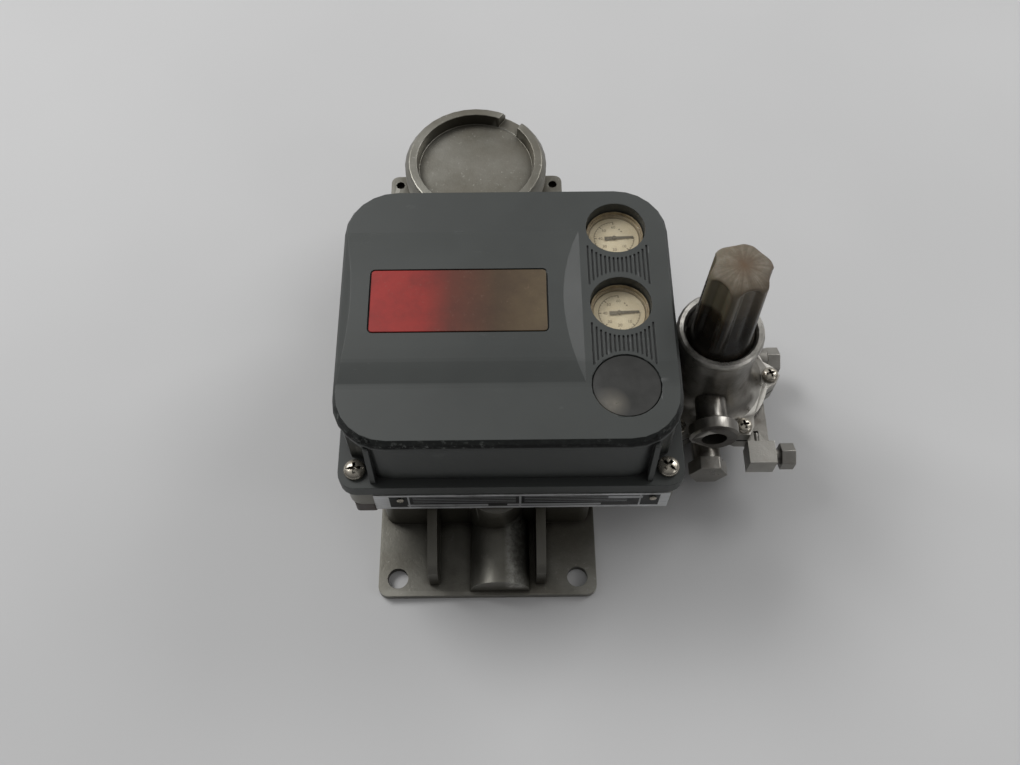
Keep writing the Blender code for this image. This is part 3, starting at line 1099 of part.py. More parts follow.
def build_closing_cap():
    """Fluted closing cap over the adjusting screw, with its gasket."""
    foot = GASKET_CAP_Z + SEAL_THICK + SEAT
    shoulder = MOUTH_Z + 1
    end = CAP_TOP_Z
    tall = end - shoulder
    rings = [(foot, 0, 0), (shoulder - 3, 0, 0), (shoulder, 0.02, 0.6), (shoulder + 0.42 * tall, 0.055, 0.95),
             (shoulder + 0.77 * tall, 0.09, 1.0), (shoulder + 0.86 * tall, 0.11, 0.8),
             (shoulder + 0.92 * tall, 0.15, 0.45), (shoulder + 0.965 * tall, 0.24, 0.15), (end, 0.44, 0)]
    body = loft([fluted_ring(z, CLOSING_R * (1 - narrow), FLUTE_DEPTH * share) for z, narrow, share in rings])
    hollow_end = SCREW_TOP + CAP_HOLLOW_CONE
    hollow = turned([(0, foot - PAST), (CAP_HOLLOW_R, foot - PAST), (CAP_HOLLOW_R, SCREW_TOP),
                     (CAP_HOLLOW_R - 3, hollow_end), (0, hollow_end)], MEDIUM_COUNT, (REG_X, REG_Y))
    cap = add_part("closing_cap", cut(body, hollow), "smoked_plastic", (REG_X, REG_Y, foot))
    top = GASKET_CAP_Z + SEAL_THICK
    gasket_bore = CAP_HOLLOW_R + 2
    gasket = turned([(gasket_bore, GASKET_CAP_Z), (CLOSING_R, GASKET_CAP_Z), (CLOSING_R, top),
                     (gasket_bore, top)], MEDIUM_COUNT + 6, (REG_X, REG_Y))
    add_part("closing_cap_gasket", gasket, "rubber", parent=cap)


def build_regulator_fittings():
    """Case screws, front plug, inlet fitting and drain valve with its nut."""
    for number, (x, y) in enumerate(flange_points(), 1):
        screw = pan_screw(CASE_HEAD_R, CASE_HEAD_H, SHANK_R, CASE_FLANGE_THICK + 6)
        add_part(f"case_screw_{number}", aim(screw, (0, 0, 1), (x, y, CASE_FLANGE_Z + SEAT)), "stainless")
    plug = join(prism(hexagon(PLUG_FLATS), 0, PLUG_HEX), rod(FRONT_BORE_R, (0, 0, -10), (0, 0, 1)))
    add_part("front_port_plug", aim(plug, (0, -1, 0), (FRONT_PORT_X, FRONT_PORT_Y - SEAT, FRONT_PORT_Z)),
             "stainless")
    fitting = join(prism(hexagon(FITTING_FLATS), 0, FITTING_HEX),
                   rod(FITTING_STUD_R, (0, 0, -8), (0, 0, 1), SMALL_COUNT))
    add_part("inlet_fitting", aim(fitting, (1, 0, 0), (INLET_X + SEAT, INLET_Y, INLET_Z)), "stainless")

    low = (DRAIN_X - DRAIN_LENGTH / 2, DRAIN_Y - DRAIN_HALF, DRAIN_Z - DRAIN_HALF)
    high = (DRAIN_X + DRAIN_LENGTH / 2, DRAIN_Y + DRAIN_HALF, DRAIN_Z + DRAIN_HALF)
    stud = rod(DRAIN_STUD_R, (DRAIN_X, DRAIN_Y, DRAIN_STUD_Z),
               (DRAIN_X, DRAIN_Y + DRAIN_HALF + 8, DRAIN_STUD_Z), SMALL_COUNT)
    block = join(box(low, high), stud)
    shank = DRAIN_SHANK_R
    block = cut(block, rod(shank + FIT, (DRAIN_X, DRAIN_Y, DRAIN_Z), (high[0] + PAST, DRAIN_Y, DRAIN_Z),
                           SMALL_COUNT))
    add_part("drain_valve", block, "stainless")
    nut = join(prism(hexagon(NUT_FLATS), 2.5, 2.5 + NUT_LENGTH),
               rod(shank + 1.5, (0, 0, 0), (0, 0, 4), SMALL_COUNT + 4),
               rod(shank, (0, 0, -6), (0, 0, 1), SMALL_COUNT))
    add_part("drain_nut", aim(nut, (1, 0, 0), (high[0] + SEAT, DRAIN_Y, DRAIN_Z)), "stainless",
             (high[0], DRAIN_Y, DRAIN_Z))


def main():
    clear_scene()
    housing = build_housing()
    build_label()
    build_vent()
    build_sensor()
    build_module()
    for name, y in zip(("upper", "lower"), GAUGE_YS):
        build_gauge(name, y, housing)
    build_cover()
    build_terminal_cap()
    build_spring_case()
    build_regulator_body()
    build_spring()
    build_adjuster()
    build_regulator_inside()
    build_closing_cap()
    build_regulator_fittings()


main()
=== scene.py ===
"""Looks of the valve positioner: materials, fine detail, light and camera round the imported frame."""
import json
import math

import bmesh
import bpy
from mathutils import Matrix, Vector


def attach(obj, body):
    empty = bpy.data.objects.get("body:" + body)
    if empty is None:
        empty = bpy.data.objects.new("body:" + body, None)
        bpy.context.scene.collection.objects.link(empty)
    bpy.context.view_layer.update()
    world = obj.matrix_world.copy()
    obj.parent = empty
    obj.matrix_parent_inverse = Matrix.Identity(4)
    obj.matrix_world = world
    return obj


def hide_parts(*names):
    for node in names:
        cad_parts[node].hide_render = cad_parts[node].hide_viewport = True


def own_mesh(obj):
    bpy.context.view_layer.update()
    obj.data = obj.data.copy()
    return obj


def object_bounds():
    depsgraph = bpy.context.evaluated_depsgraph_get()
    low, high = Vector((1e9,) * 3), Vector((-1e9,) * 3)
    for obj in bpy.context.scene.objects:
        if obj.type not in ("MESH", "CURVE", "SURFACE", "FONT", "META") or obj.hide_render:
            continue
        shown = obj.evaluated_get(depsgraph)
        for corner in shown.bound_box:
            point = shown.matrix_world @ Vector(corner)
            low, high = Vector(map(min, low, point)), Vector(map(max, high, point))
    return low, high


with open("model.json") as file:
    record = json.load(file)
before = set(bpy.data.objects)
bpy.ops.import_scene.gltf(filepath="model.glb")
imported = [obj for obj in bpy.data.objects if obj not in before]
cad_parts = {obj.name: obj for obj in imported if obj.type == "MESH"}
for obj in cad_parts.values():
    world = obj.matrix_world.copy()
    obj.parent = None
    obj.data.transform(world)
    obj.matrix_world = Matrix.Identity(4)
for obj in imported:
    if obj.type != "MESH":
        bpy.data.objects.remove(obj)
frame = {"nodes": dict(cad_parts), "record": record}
CAD_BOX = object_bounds()
NODES = frame["nodes"]
BODIES = frame["record"]["behaviour"]["bodies"]
BODY_OF = {node: body for body, members in BODIES.items() for node in members}
SLOT_OF = {part["node"]: part["material_slot"] for part in frame["record"]["subparts"]}
MM = 0.001
TAU = math.tau

# Places of the part that carry dirt, wear, painted shade and painted highlights, in metres
RIB_MIDDLE = -12.1 * MM
RIB_REACH = 100 / 3 * MM
BOSS_LEFT = -10 * MM
BOSS_REACH = 20 * MM
VENT_MOUTH = (99 * MM, -36.8 * MM, 45 * MM)
BARREL_X, BARREL_Y = 100.4 * MM, 4 * MM
BARREL_TOP = 86 * MM
CAP_FOOT, CAP_TOP = 78 * MM, 134 * MM
RIM_FOOT, RIM_TOP = 101 * MM, 107 * MM
FACE_STEP = (-40.5 * MM, -26.5 * MM)
BLANK_GLARE = (42.5 * MM, -48.5 * MM, 107.5 * MM)
PLATE_ENDS = (-62.6 * MM, 16.6 * MM)

# Fine shapes, lengths in metres and angles in degrees
DIAL_RISE = 1.9 * MM
PRINT_FOOT, PRINT_THICK = 0.02 * MM, 0.08 * MM
EDGE_SEGMENTS = 2
WELD = 0.002 * MM
ON_PLANE = 0.0001 * MM
FLAT_ANGLE = 0.4


def linear(red, green, blue):
    """Linear colour from a 0 to 255 display colour."""
    out = []
    for value in (red, green, blue):
        value /= 255
        out.append(value / 12.92 if value <= 0.04045 else ((value + 0.055) / 1.055) ** 2.4)
    return (*out, 1.0)


class Surface:
    """A material with a few short calls for its nodes, in the part's own coordinates."""

    def __init__(self, name):
        self.material = bpy.data.materials.new(name)
        self.material.use_nodes = True
        self.tree = self.material.node_tree
        self.shader = self.tree.nodes["Principled BSDF"]
        self.place = self.tree.nodes.new("ShaderNodeTexCoord").outputs["Object"]

    def node(self, kind, **settings):
        made = self.tree.nodes.new("ShaderNode" + kind)
        for key, value in settings.items():
            setattr(made, key, value)
        return made

    def feed(self, socket, value):
        if isinstance(value, bpy.types.NodeSocket):
            self.tree.links.new(value, socket)
        else:
            socket.default_value = value

    def scaled(self, scale):
        """The part's coordinates, stretched along each axis."""
        made = self.node("Mapping")
        self.feed(made.inputs["Vector"], self.place)
        made.inputs["Scale"].default_value = scale
        return made.outputs["Vector"]

    def noise(self, scale, detail=4.0, rough=0.5, place=None):
        made = self.node("TexNoise")
        self.feed(made.inputs["Vector"], place or self.place)
        made.inputs["Scale"].default_value = scale
        made.inputs["Detail"].default_value = detail
        made.inputs["Roughness"].default_value = rough
        return made.outputs["Fac"]

    def cells(self, scale):
        made = self.node("TexVoronoi", feature="F1")
        self.feed(made.inputs["Vector"], self.place)
        made.inputs["Scale"].default_value = scale
        return made.outputs["Distance"]

    def ramp(self, value, *stops):
        """Stops are (position, value or colour)."""
        made = self.node("ValToRGB")
        self.feed(made.inputs["Fac"], value)
        points = made.color_ramp.elements
        while len(points) < len(stops):
            points.new(0.5)
        for point, (position, colour) in zip(points, stops):
            point.position = position
            point.color = colour if isinstance(colour, tuple) else (colour, colour, colour, 1.0)
        return made.outputs["Color"]

    def maths(self, operation, first, second=0.0):
        made = self.node("Math", operation=operation)
        self.feed(made.inputs[0], first)
        self.feed(made.inputs[1], second)
        return made.outputs[0]

    def times(self, first, *others):
        """Product of masks and shares."""
        for other in others:
            first = self.maths("MULTIPLY", first, other)
        return first

    def blend(self, amount, first, second):
        made = self.node("Mix", data_type="RGBA")
        self.feed(made.inputs["Factor"], amount)
        self.feed(made.inputs["A"], first)
        self.feed(made.inputs["B"], second)
        return made.outputs["Result"]

    def component(self, vector, name):
        parts = self.node("SeparateXYZ")
        self.feed(parts.inputs[0], vector)
        return parts.outputs[name]

    def along(self, name):
        """Place along an axis, in metres."""
        return self.component(self.place, name)

    def facing(self, name):
        """How far the surface faces along an axis, from -1 to 1."""
        return self.component(self.node("NewGeometry").outputs["Normal"], name)

    def beside(self, name, middle):
        """Distance from a middle along an axis, in metres."""
        return self.maths("ABSOLUTE", self.maths("SUBTRACT", self.along(name), middle))

    def axis(self, name, low, high):
        """0 to 1 along an axis between two places in metres."""
        made = self.node("MapRange")
        self.feed(made.inputs["Value"], self.along(name))
        made.inputs["From Min"].default_value = low
        made.inputs["From Max"].default_value = high
        return made.outputs["Result"]

    def within(self, mask, *bounds):
        """Mask kept inside its bounds, each an axis and the places where it starts and is full."""
        return self.times(mask, *(self.axis(*bound) for bound in bounds))

    def vector(self, operation, first, second=(0.0, 0.0, 0.0)):
        made = self.node("VectorMath", operation=operation)
        self.feed(made.inputs[0], first)
        made.inputs[1].default_value = second
        return made.outputs["Value" if operation == "DISTANCE" else "Vector"]

    def near(self, spot, reach, soft=0.3):
        """1 close to a place of the part, 0 beyond reach, in metres."""
        share = self.maths("DIVIDE", self.vector("DISTANCE", self.place, spot), reach)
        return self.ramp(share, (1 - soft, 1.0), (1.0, 0.0))

    def edges(self, low, high):
        """Mask from the mesh's own raised edges, for wear and for painted ridge highlights."""
        return self.ramp(self.node("NewGeometry").outputs["Pointiness"], (low, 0.0), (high, 1.0))

    def crevices(self, reach, low=0.35, high=0.85):
        """Mask for painted shade: 1 in corners and recesses, 0 in the open."""
        made = self.node("AmbientOcclusion", samples=6, only_local=True)
        made.inputs["Distance"].default_value = reach
        return self.ramp(made.outputs["AO"], (low, 1.0), (high, 0.0))

    def bump(self, height, strength, distance, normal=None):
        made = self.node("Bump")
        self.feed(made.inputs["Height"], height)
        made.inputs["Strength"].default_value = strength
        made.inputs["Distance"].default_value = distance
        if normal:
            self.feed(made.inputs["Normal"], normal)
        return made.outputs["Normal"]

    def round_edge(self, radius):
        made = self.node("Bevel", samples=4)
        made.inputs["Radius"].default_value = radius
        return made.outputs["Normal"]

    def set(self, **sockets):
        for key, value in sockets.items():
            self.feed(self.shader.inputs[key.replace("_", " ")], value)
        return self.material


def cast_metal():
    """Grey casting with stains, painted shade in its recesses, on walls facing the front and on the rib
    faces, and a painted highlight with worn specks on the boss.
    """
    look = Surface("cast_metal")
    patches = look.noise(28, 5, 0.6)
    colour = look.ramp(patches, (0.3, linear(104, 102, 94)), (0.5, linear(126, 124, 116)),
                       (0.7, linear(146, 144, 136)))
    stains = look.ramp(look.noise(9, 6, 0.65), (0.5, 0.0), (0.72, 0.55))
    colour = look.blend(stains, colour, linear(88, 80, 64))
    specks = look.times(look.ramp(look.noise(520, 4, 0.75), (0.6, 0.0), (0.68, 0.6)),
                        look.ramp(look.noise(60, 3, 0.6), (0.46, 0.0), (0.6, 1.0)))
    colour = look.blend(specks, colour, linear(186, 185, 178))
    # painted shade: the casting darkens in its corners and recesses
    colour = look.blend(look.crevices(6 * MM), colour, linear(38, 34, 26))
    # painted shade on walls facing the front (-Y), broken up by noise
    grime_and_shade = look.times(look.ramp(look.times(look.facing("Y"), -1.0), (0.3, 0.0), (0.75, 0.8)),
                       look.ramp(look.noise(120, 4, 0.6), (0.3, 0.8), (0.6, 1.0)))
    colour = look.blend(grime_and_shade, colour, linear(66, 63, 54))
    # painted shade on the rib faces
    rib_shade = look.ramp(look.maths("DIVIDE", look.beside("X", RIB_MIDDLE), RIB_REACH),
                     (0.66, 0.0), (0.69, 1.0), (0.88, 1.0), (0.9, 0.0))
    rib_shade = look.within(rib_shade, ("Z", 6 * MM, 11 * MM), ("Z", 39.5 * MM, 38.5 * MM), ("Y", -62.5 * MM, -64 * MM))
    colour = look.blend(look.times(rib_shade, 0.85), colour, linear(52, 49, 41))
    # painted highlight along the right side of the boss, speckled like worn metal
    boss_highlight_and_wear = look.ramp(look.maths("DIVIDE", look.maths("SUBTRACT", look.along("X"), BOSS_LEFT), BOSS_REACH),
                      (0.3, 0.0), (0.47, 1.0), (0.72, 1.0), (0.88, 0.0))
    boss_highlight_and_wear = look.within(boss_highlight_and_wear, ("Z", 7 * MM, 11 * MM), ("Z", 23 * MM, 21.5 * MM), ("Y", -64 * MM, -68 * MM))
    boss_highlight_and_wear = look.times(boss_highlight_and_wear, look.ramp(look.noise(420, 6, 0.8), (0.42, 0.25), (0.62, 0.95)))
    colour = look.blend(boss_highlight_and_wear, colour, linear(196, 195, 188))
    colour = look.blend(look.edges(0.52, 0.6), colour, linear(158, 156, 148))
    pits = look.ramp(look.cells(420), (0.0, 0.0), (0.16, 1.0))
    height = look.maths("ADD", look.times(look.noise(900, 3, 0.6), 0.6), look.times(pits, 0.4))
    return look.set(Base_Color=colour, Metallic=0.8,
                    Roughness=look.ramp(patches, (0.3, 0.5), (0.7, 0.36)),
                    Normal=look.bump(height, 0.35, 0.4 * MM))


def stainless(name="stainless", tone=1.0):
    """Cast stainless with brown dirt, painted shade in its recesses, darker round the vent mouth, and painted
    light mottled like wear round the barrel mouth; tone darkens it.
    """
    look = Surface(name)
    colour = look.ramp(look.noise(45, 5, 0.6), (0.3, linear(112 * tone, 109 * tone, 104 * tone)),
                       (0.55, linear(138 * tone, 135 * tone, 129 * tone)),
                       (0.75, linear(158 * tone, 155 * tone, 148 * tone)))
    dirt = look.ramp(look.noise(70, 6, 0.7), (0.5, 0.0), (0.68, 0.7))
    colour = look.blend(dirt, colour, linear(70, 60, 48))
    # painted shade in corners and recesses
    colour = look.blend(look.crevices(4 * MM), colour, linear(26, 22, 18))
    # darker round the vent mouth
    colour = look.blend(look.times(look.near(VENT_MOUTH, 20 * MM), 0.6), colour, linear(44, 40, 35))
    # painted light on the barrel's top and inner wall, mottled like worn metal
    mouth = look.times(look.near((BARREL_X, BARREL_Y, BARREL_TOP), 27 * MM),
                       look.ramp(look.noise(150, 5, 0.7), (0.4, 0.3), (0.6, 0.9)))
    colour = look.blend(mouth, colour, linear(206, 203, 196))
    colour = look.blend(look.edges(0.53, 0.62), colour, linear(196, 193, 186))
    height = look.maths("ADD", look.noise(1500, 2, 0.6), look.times(look.noise(420, 4, 0.6), 1.6))
    return look.set(Base_Color=colour, Metallic=0.86,
                    Roughness=look.ramp(look.noise(120, 5, 0.6), (0.3, 0.26), (0.7, 0.44)),
                    Normal=look.bump(height, 0.2, 0.3 * MM))


def bright_screw():
    """Plated steel with rusty dirt and painted shade in its recesses."""
    look = Surface("bright_screw")
    dirt = look.ramp(look.noise(380, 5, 0.7), (0.56, 0.0), (0.68, 0.8))
    colour = look.blend(dirt, linear(178, 172, 160), linear(84, 66, 46))
    # painted shade in the recesses of the head
    colour = look.blend(look.crevices(1.6 * MM, 0.5, 0.86), colour, linear(10, 8, 6))
    return look.set(Base_Color=colour, Metallic=0.9,
                    Roughness=look.ramp(dirt, (0.0, 0.27), (1.0, 0.6)),
                    Normal=look.bump(look.noise(1800, 2, 0.5), 0.15, 0.1 * MM))


def cover_plastic():
    """Moulded plastic with fine grain, pale specks and scuffs, a ragged dark worn line with painted shade at
    its front rim and pale chips with painted highlights above it, and painted shade on walls facing +X and in
    recesses.
    """
    look = Surface("cover_plastic")
    base = linear(54, 57, 55)
    bright = linear(112, 115, 112)
    cloud = look.noise(14, 5, 0.6)
    low, high = (tuple(share * c for c in base[:3]) + (1.0,) for share in (0.88, 1.12))
    colour = look.ramp(cloud, (0.3, low), (0.7, high))
    specks = look.times(look.ramp(look.cells(520), (0.03, 0.6), (0.05, 0.0)),
                        look.ramp(look.noise(60, 3, 0.6), (0.58, 0.0), (0.68, 1.0)))
    colour = look.blend(specks, colour, linear(150, 152, 149))
    scuffs = look.ramp(look.noise(38, 9, 0.8, look.scaled((1.0, 4.0, 1.0))), (0.62, 0.0), (0.72, 0.3))
    colour = look.blend(scuffs, colour, bright)
    rim = look.axis("Z", RIM_FOOT, RIM_TOP)
    front = look.times(look.axis("Y", -30 * MM, -50 * MM),
                       look.ramp(look.facing("Z"), (0.45, 1.0), (0.75, 0.0)))
    # ragged dark worn line on the front rim walls, partly painted shade
    rim_wear_and_shade = look.times(look.ramp(rim, (0.34, 0.0), (0.5, 1.0)), front)
    ragged = look.ramp(look.noise(260, 6, 0.75, look.scaled((1.0, 1.0, 1.6))), (0.38, 0.45), (0.5, 1.0))
    colour = look.blend(look.times(rim_wear_and_shade, ragged), colour, linear(12, 13, 12))
    # pale chips and painted highlights along the rim edge
    edge = look.times(look.ramp(rim, (0.4, 0.0), (0.5, 1.0)), front)
    chips_and_glints = look.times(look.ramp(look.noise(400, 5, 0.8), (0.56, 0.0), (0.62, 0.75)),
                        look.ramp(look.noise(34, 3, 0.6), (0.46, 0.1), (0.56, 1.0)))
    colour = look.blend(look.times(edge, chips_and_glints), colour, bright)
    # painted shade on walls facing +X
    colour = look.blend(look.ramp(look.facing("X"), (0.75, 0.0), (0.98, 0.75)), colour, linear(30, 32, 31))
    # painted shade in corners and recesses
    colour = look.blend(look.crevices(8 * MM, 0.3, 0.8), colour, linear(24, 25, 24))
    drop = look.ramp(look.axis("Y", *FACE_STEP), (0.0, 0.0), (0.12, 0.06), (0.88, 0.94), (1.0, 1.0))
    fold = look.bump(drop, 1.0, 1.4 * MM, look.round_edge(0.5 * MM))
    return look.set(Base_Color=colour, Roughness=look.ramp(cloud, (0.3, 0.44), (0.7, 0.56)),
                    Specular_IOR_Level=look.ramp(rim_wear_and_shade, (0.0, 0.5), (0.8, 0.1)),
                    Normal=look.bump(look.noise(2600, 2, 0.5), 0.12, 0.2 * MM, fold))


def blank_plastic():
    """Smoother darker plastic of the blank, with a soft painted glare."""
    look = Surface("blank_plastic")
    cloud = look.noise(60, 5, 0.65)
    colour = look.ramp(cloud, (0.3, linear(36, 36, 34)), (0.7, linear(52, 52, 50)))
    # painted glare: a soft pale highlight on the dish
    glare = look.times(look.near(BLANK_GLARE, 9 * MM, 0.8), look.ramp(cloud, (0.3, 0.5), (0.7, 0.1)))
    colour = look.blend(glare, colour, linear(140, 134, 122))
    return look.set(Base_Color=colour, Roughness=look.ramp(cloud, (0.3, 0.26), (0.7, 0.4)),
                    Specular_IOR_Level=0.5, Normal=look.bump(look.noise(1200, 3, 0.6), 0.1, 0.1 * MM))


def nameplate():
    """Bare plate, deep red at the left that turns through dark brown to bronze at the right."""
    look = Surface("nameplate")
    colour = look.ramp(look.axis("X", *PLATE_ENDS), (0.0, linear(150, 44, 40)), (0.3, linear(138, 42, 36)),
                       (0.46, linear(92, 46, 35)), (0.72, linear(74, 58, 41)), (1.0, linear(94, 81, 60)))
    stains = look.ramp(look.noise(70, 5, 0.65), (0.4, 0.0), (0.75, 0.4))
    colour = look.blend(stains, colour, linear(48, 32, 28))
    brushed = look.noise(300, 3, 0.6, look.scaled((0.6, 14.0, 1.0)))
    worn = look.ramp(look.noise(500, 5, 0.75), (0.6, 0.0), (0.7, 0.35))
    colour = look.blend(worn, colour, linear(120, 96, 82))
    return look.set(Base_Color=colour, Metallic=0.1, Specular_IOR_Level=0.35,
                    Roughness=look.ramp(brushed, (0.3, 0.4), (0.7, 0.54)),
                    Normal=look.bump(brushed, 0.06, 0.1 * MM))


def label():
    """Bare data plate: silver border, dark satin panel and lighter blank fields."""
    look = Surface("label")
    brushed = look.noise(220, 4, 0.6, look.scaled((0.5, 1.0, 18.0)))
    silver = look.ramp(brushed, (0.3, linear(186, 187, 188)), (0.7, linear(226, 227, 228)))

    def field(x, half_x, z, half_z):
        """1 inside a rectangle of the plate's face, given in millimetres."""
        return look.times(look.maths("LESS_THAN", look.beside("X", x * MM), half_x * MM),
                          look.maths("LESS_THAN", look.beside("Z", z * MM), half_z * MM))

    panel_z, panel_half_z = 48.8, 6.2
    colour = look.blend(field(6, 63, panel_z, panel_half_z), silver, linear(38, 39, 40))
    blocks = [(-30, 19, 44.4, 1.1), (20, 22, 44.4, 1.1), (53, 8, 52.5, 1.4)]
    rules = [(x, half_x, panel_z, panel_half_z) for x, half_x in ((4, 0.5), (-48, 0.4), (60, 0.4))]
    lines = [(x, 24, z, 0.22) for x in (-22, 30) for z in (47.8, 49.8, 51.8, 53.8)]
    for place in blocks + rules + lines:
        colour = look.blend(field(*place), colour, linear(176, 177, 178))
    grime_and_shade = look.ramp(look.noise(60, 6, 0.7), (0.5, 0.0), (0.72, 0.55))
    colour = look.blend(grime_and_shade, colour, linear(70, 67, 62))
    return look.set(Base_Color=colour, Metallic=0.6, Roughness=look.ramp(brushed, (0.3, 0.34), (0.7, 0.5)),
                    Normal=look.bump(brushed, 0.1, 0.1 * MM))


def rubber():
    """Dull black rubber."""
    look = Surface("rubber")
    cloud = look.noise(220, 4, 0.6)
    colour = look.ramp(cloud, (0.3, linear(16, 16, 16)), (0.7, linear(34, 33, 32)))
    return look.set(Base_Color=colour, Roughness=look.ramp(cloud, (0.3, 0.68), (0.7, 0.85)),
                    Normal=look.bump(look.noise(1400, 2, 0.5), 0.2, 0.1 * MM))


def dial():
    """Aged cream card of a gauge."""
    look = Surface("dial")
    cloud = look.noise(160, 4, 0.6)
    colour = look.ramp(cloud, (0.3, linear(204, 190, 158)), (0.7, linear(217, 205, 175)))
    return look.set(Base_Color=colour, Roughness=look.ramp(cloud, (0.3, 0.5), (0.7, 0.62)),
                    Normal=look.bump(look.noise(2500, 2, 0.5), 0.05, 0.1 * MM))


def bezel():
    """Yellowed clear rim of a gauge, brownish cream."""
    look = Surface("bezel")
    cloud = look.noise(300, 5, 0.6)
    colour = look.ramp(cloud, (0.3, linear(128, 112, 86)), (0.7, linear(168, 152, 122)))
    dirt = look.ramp(look.noise(900, 4, 0.7), (0.56, 0.0), (0.68, 0.6))
    colour = look.blend(dirt, colour, linear(84, 70, 50))
    return look.set(Base_Color=colour, Metallic=0.1, Roughness=look.ramp(cloud, (0.3, 0.3), (0.7, 0.46)),
                    Coat_Weight=0.3, Normal=look.bump(cloud, 0.1, 0.1 * MM))


def dark_paint(name, base, light):
    """Satin paint or plastic that clouds between two dark colours."""
    look = Surface(name)
    cloud = look.noise(400, 4, 0.6)
    colour = look.ramp(cloud, (0.3, base), (0.7, light))
    return look.set(Base_Color=colour, Roughness=look.ramp(cloud, (0.3, 0.42), (0.7, 0.56)),
                    Normal=look.bump(look.noise(1800, 2, 0.5), 0.12, 0.1 * MM))


def lens():
    """Thin smeared window that lets the dial show."""
    look = Surface("lens")
    smear = look.noise(120, 5, 0.6)
    return look.set(Base_Color=linear(206, 196, 172), Alpha=look.ramp(smear, (0.3, 0.05), (0.75, 0.16)),
                    Roughness=look.ramp(smear, (0.3, 0.12), (0.75, 0.3)), Specular_IOR_Level=0.3,
                    Normal=look.bump(smear, 0.02, 0.1 * MM))


def smoked():
    """Smoked cap: dome with dust in rays, painted light on its shoulders at the left and painted highlights
    on its ridges, dark towards its foot.
    """
    look = Surface("smoked_plastic")
    up = look.axis("Z", CAP_FOOT, CAP_TOP)
    cloud = look.noise(90, 5, 0.6)
    wander = look.maths("ADD", up, look.times(look.maths("SUBTRACT", cloud, 0.5), 0.3))
    colour = look.ramp(wander, (0.0, linear(24, 21, 18)), (0.42, linear(32, 28, 22)),
                       (0.56, linear(50, 43, 32)), (0.74, linear(72, 63, 48)), (0.9, linear(92, 82, 68)))
    # painted light on the upper shoulders, on the left side only
    shoulder = look.ramp(look.maths("ADD", up, look.times(cloud, 0.1)), (0.6, 0.0), (0.66, 1.0))
    left_side = look.ramp(look.axis("X", 90 * MM, 104 * MM), (0.0, 0.75), (0.7, 0.15), (1.0, 0.0))
    colour = look.blend(look.times(shoulder, left_side), colour, linear(112, 106, 88))
    dust = look.times(look.ramp(look.facing("Z"), (0.35, 0.0), (0.95, 0.85)),
                      look.ramp(look.noise(260, 6, 0.7), (0.3, 0.5), (0.6, 1.0)))
    out = look.vector("SUBTRACT", look.place, (BARREL_X, BARREL_Y, 0.0))
    ray = look.vector("NORMALIZE", look.vector("MULTIPLY", out, (1.0, 1.0, 0.0)))
    mixed = look.maths("ADD", look.times(look.noise(3.2, 6, 0.75, ray), 0.55),
                       look.times(look.noise(170, 6, 0.75), 0.45))
    dusty = look.ramp(mixed, (0.36, linear(74, 64, 52)), (0.5, linear(106, 97, 84)),
                      (0.64, linear(142, 136, 124)))
    dusty = look.blend(look.near((BARREL_X, BARREL_Y, CAP_TOP), 8 * MM, 0.9), dusty, linear(96, 76, 58))
    colour = look.blend(dust, colour, dusty)
    # painted highlights along the ridges, stronger towards the top
    ridges = look.times(look.edges(0.505, 0.54), look.ramp(up, (0.3, 0.15), (0.8, 0.55)))
    colour = look.blend(ridges, colour, linear(112, 101, 87))
    return look.set(Base_Color=colour, Roughness=look.ramp(dust, (0.0, 0.24), (1.0, 0.7)),
                    Specular_IOR_Level=0.25, Subsurface_Weight=0.1, Subsurface_Scale=4 * MM,
                    Normal=look.bump(look.noise(700, 3, 0.6), 0.08, 0.2 * MM))


def filter_media():
    """Pale woven filter."""
    look = Surface("filter_media")
    weave = look.noise(1200, 4, 0.7)
    colour = look.ramp(weave, (0.3, linear(196, 188, 164)), (0.7, linear(226, 220, 200)))
    return look.set(Base_Color=colour, Roughness=look.ramp(weave, (0.3, 0.85), (0.7, 0.95)),
                    Normal=look.bump(weave, 0.6, 0.4 * MM))


LOOKS = {
    "cast_metal": cast_metal(),
    "stainless": stainless(),
    "dull_stainless": stainless("dull_stainless", 0.76),
    "cover_plastic": cover_plastic(),
    "blank_plastic": blank_plastic(),
    "nameplate": nameplate(),
    "label": label(),
    "rubber": rubber(),
    "dial": dial(),
    "bezel": bezel(),
    "needle": dark_paint("needle", linear(46, 40, 32), linear(70, 62, 50)),
    "marks": dark_paint("marks", linear(88, 76, 60), linear(118, 105, 84)),
    "lens": lens(),
    "smoked_plastic": smoked(),
    "brown_plastic": dark_paint("brown_plastic", linear(44, 35, 31), linear(66, 54, 47)),
    "black_plastic": dark_paint("black_plastic", linear(24, 24, 25), linear(44, 44, 45)),
    "filter_media": filter_media(),
    "spring_steel": bright_screw(),
    "screw": bright_screw(),
}


def made_piece(name, shape):
    """Object of a finished shape, linked to the scene."""
    mesh = bpy.data.meshes.new(name)
    shape.to_mesh(mesh)
    shape.free()
    piece = bpy.data.objects.new(name, mesh)
    bpy.context.scene.collection.objects.link(piece)
    return piece


def finish_mesh(piece, width=0.0, angle=32):
    """Round a piece's sharp edges and smooth the rest."""
    piece.data.shade_smooth()
    piece.data.set_sharp_from_angle(angle=math.radians(angle))
    if width:
        bevel = piece.modifiers.new("edges", "BEVEL")
        bevel.width = width
        bevel.segments = EDGE_SEGMENTS
        bevel.limit_method = "ANGLE"
        bevel.angle_limit = math.radians(angle)
        bevel.use_clamp_overlap = True
        bevel.miter_outer = "MITER_ARC"
    even = piece.modifiers.new("even", "WEIGHTED_NORMAL")
    even.keep_sharp = True


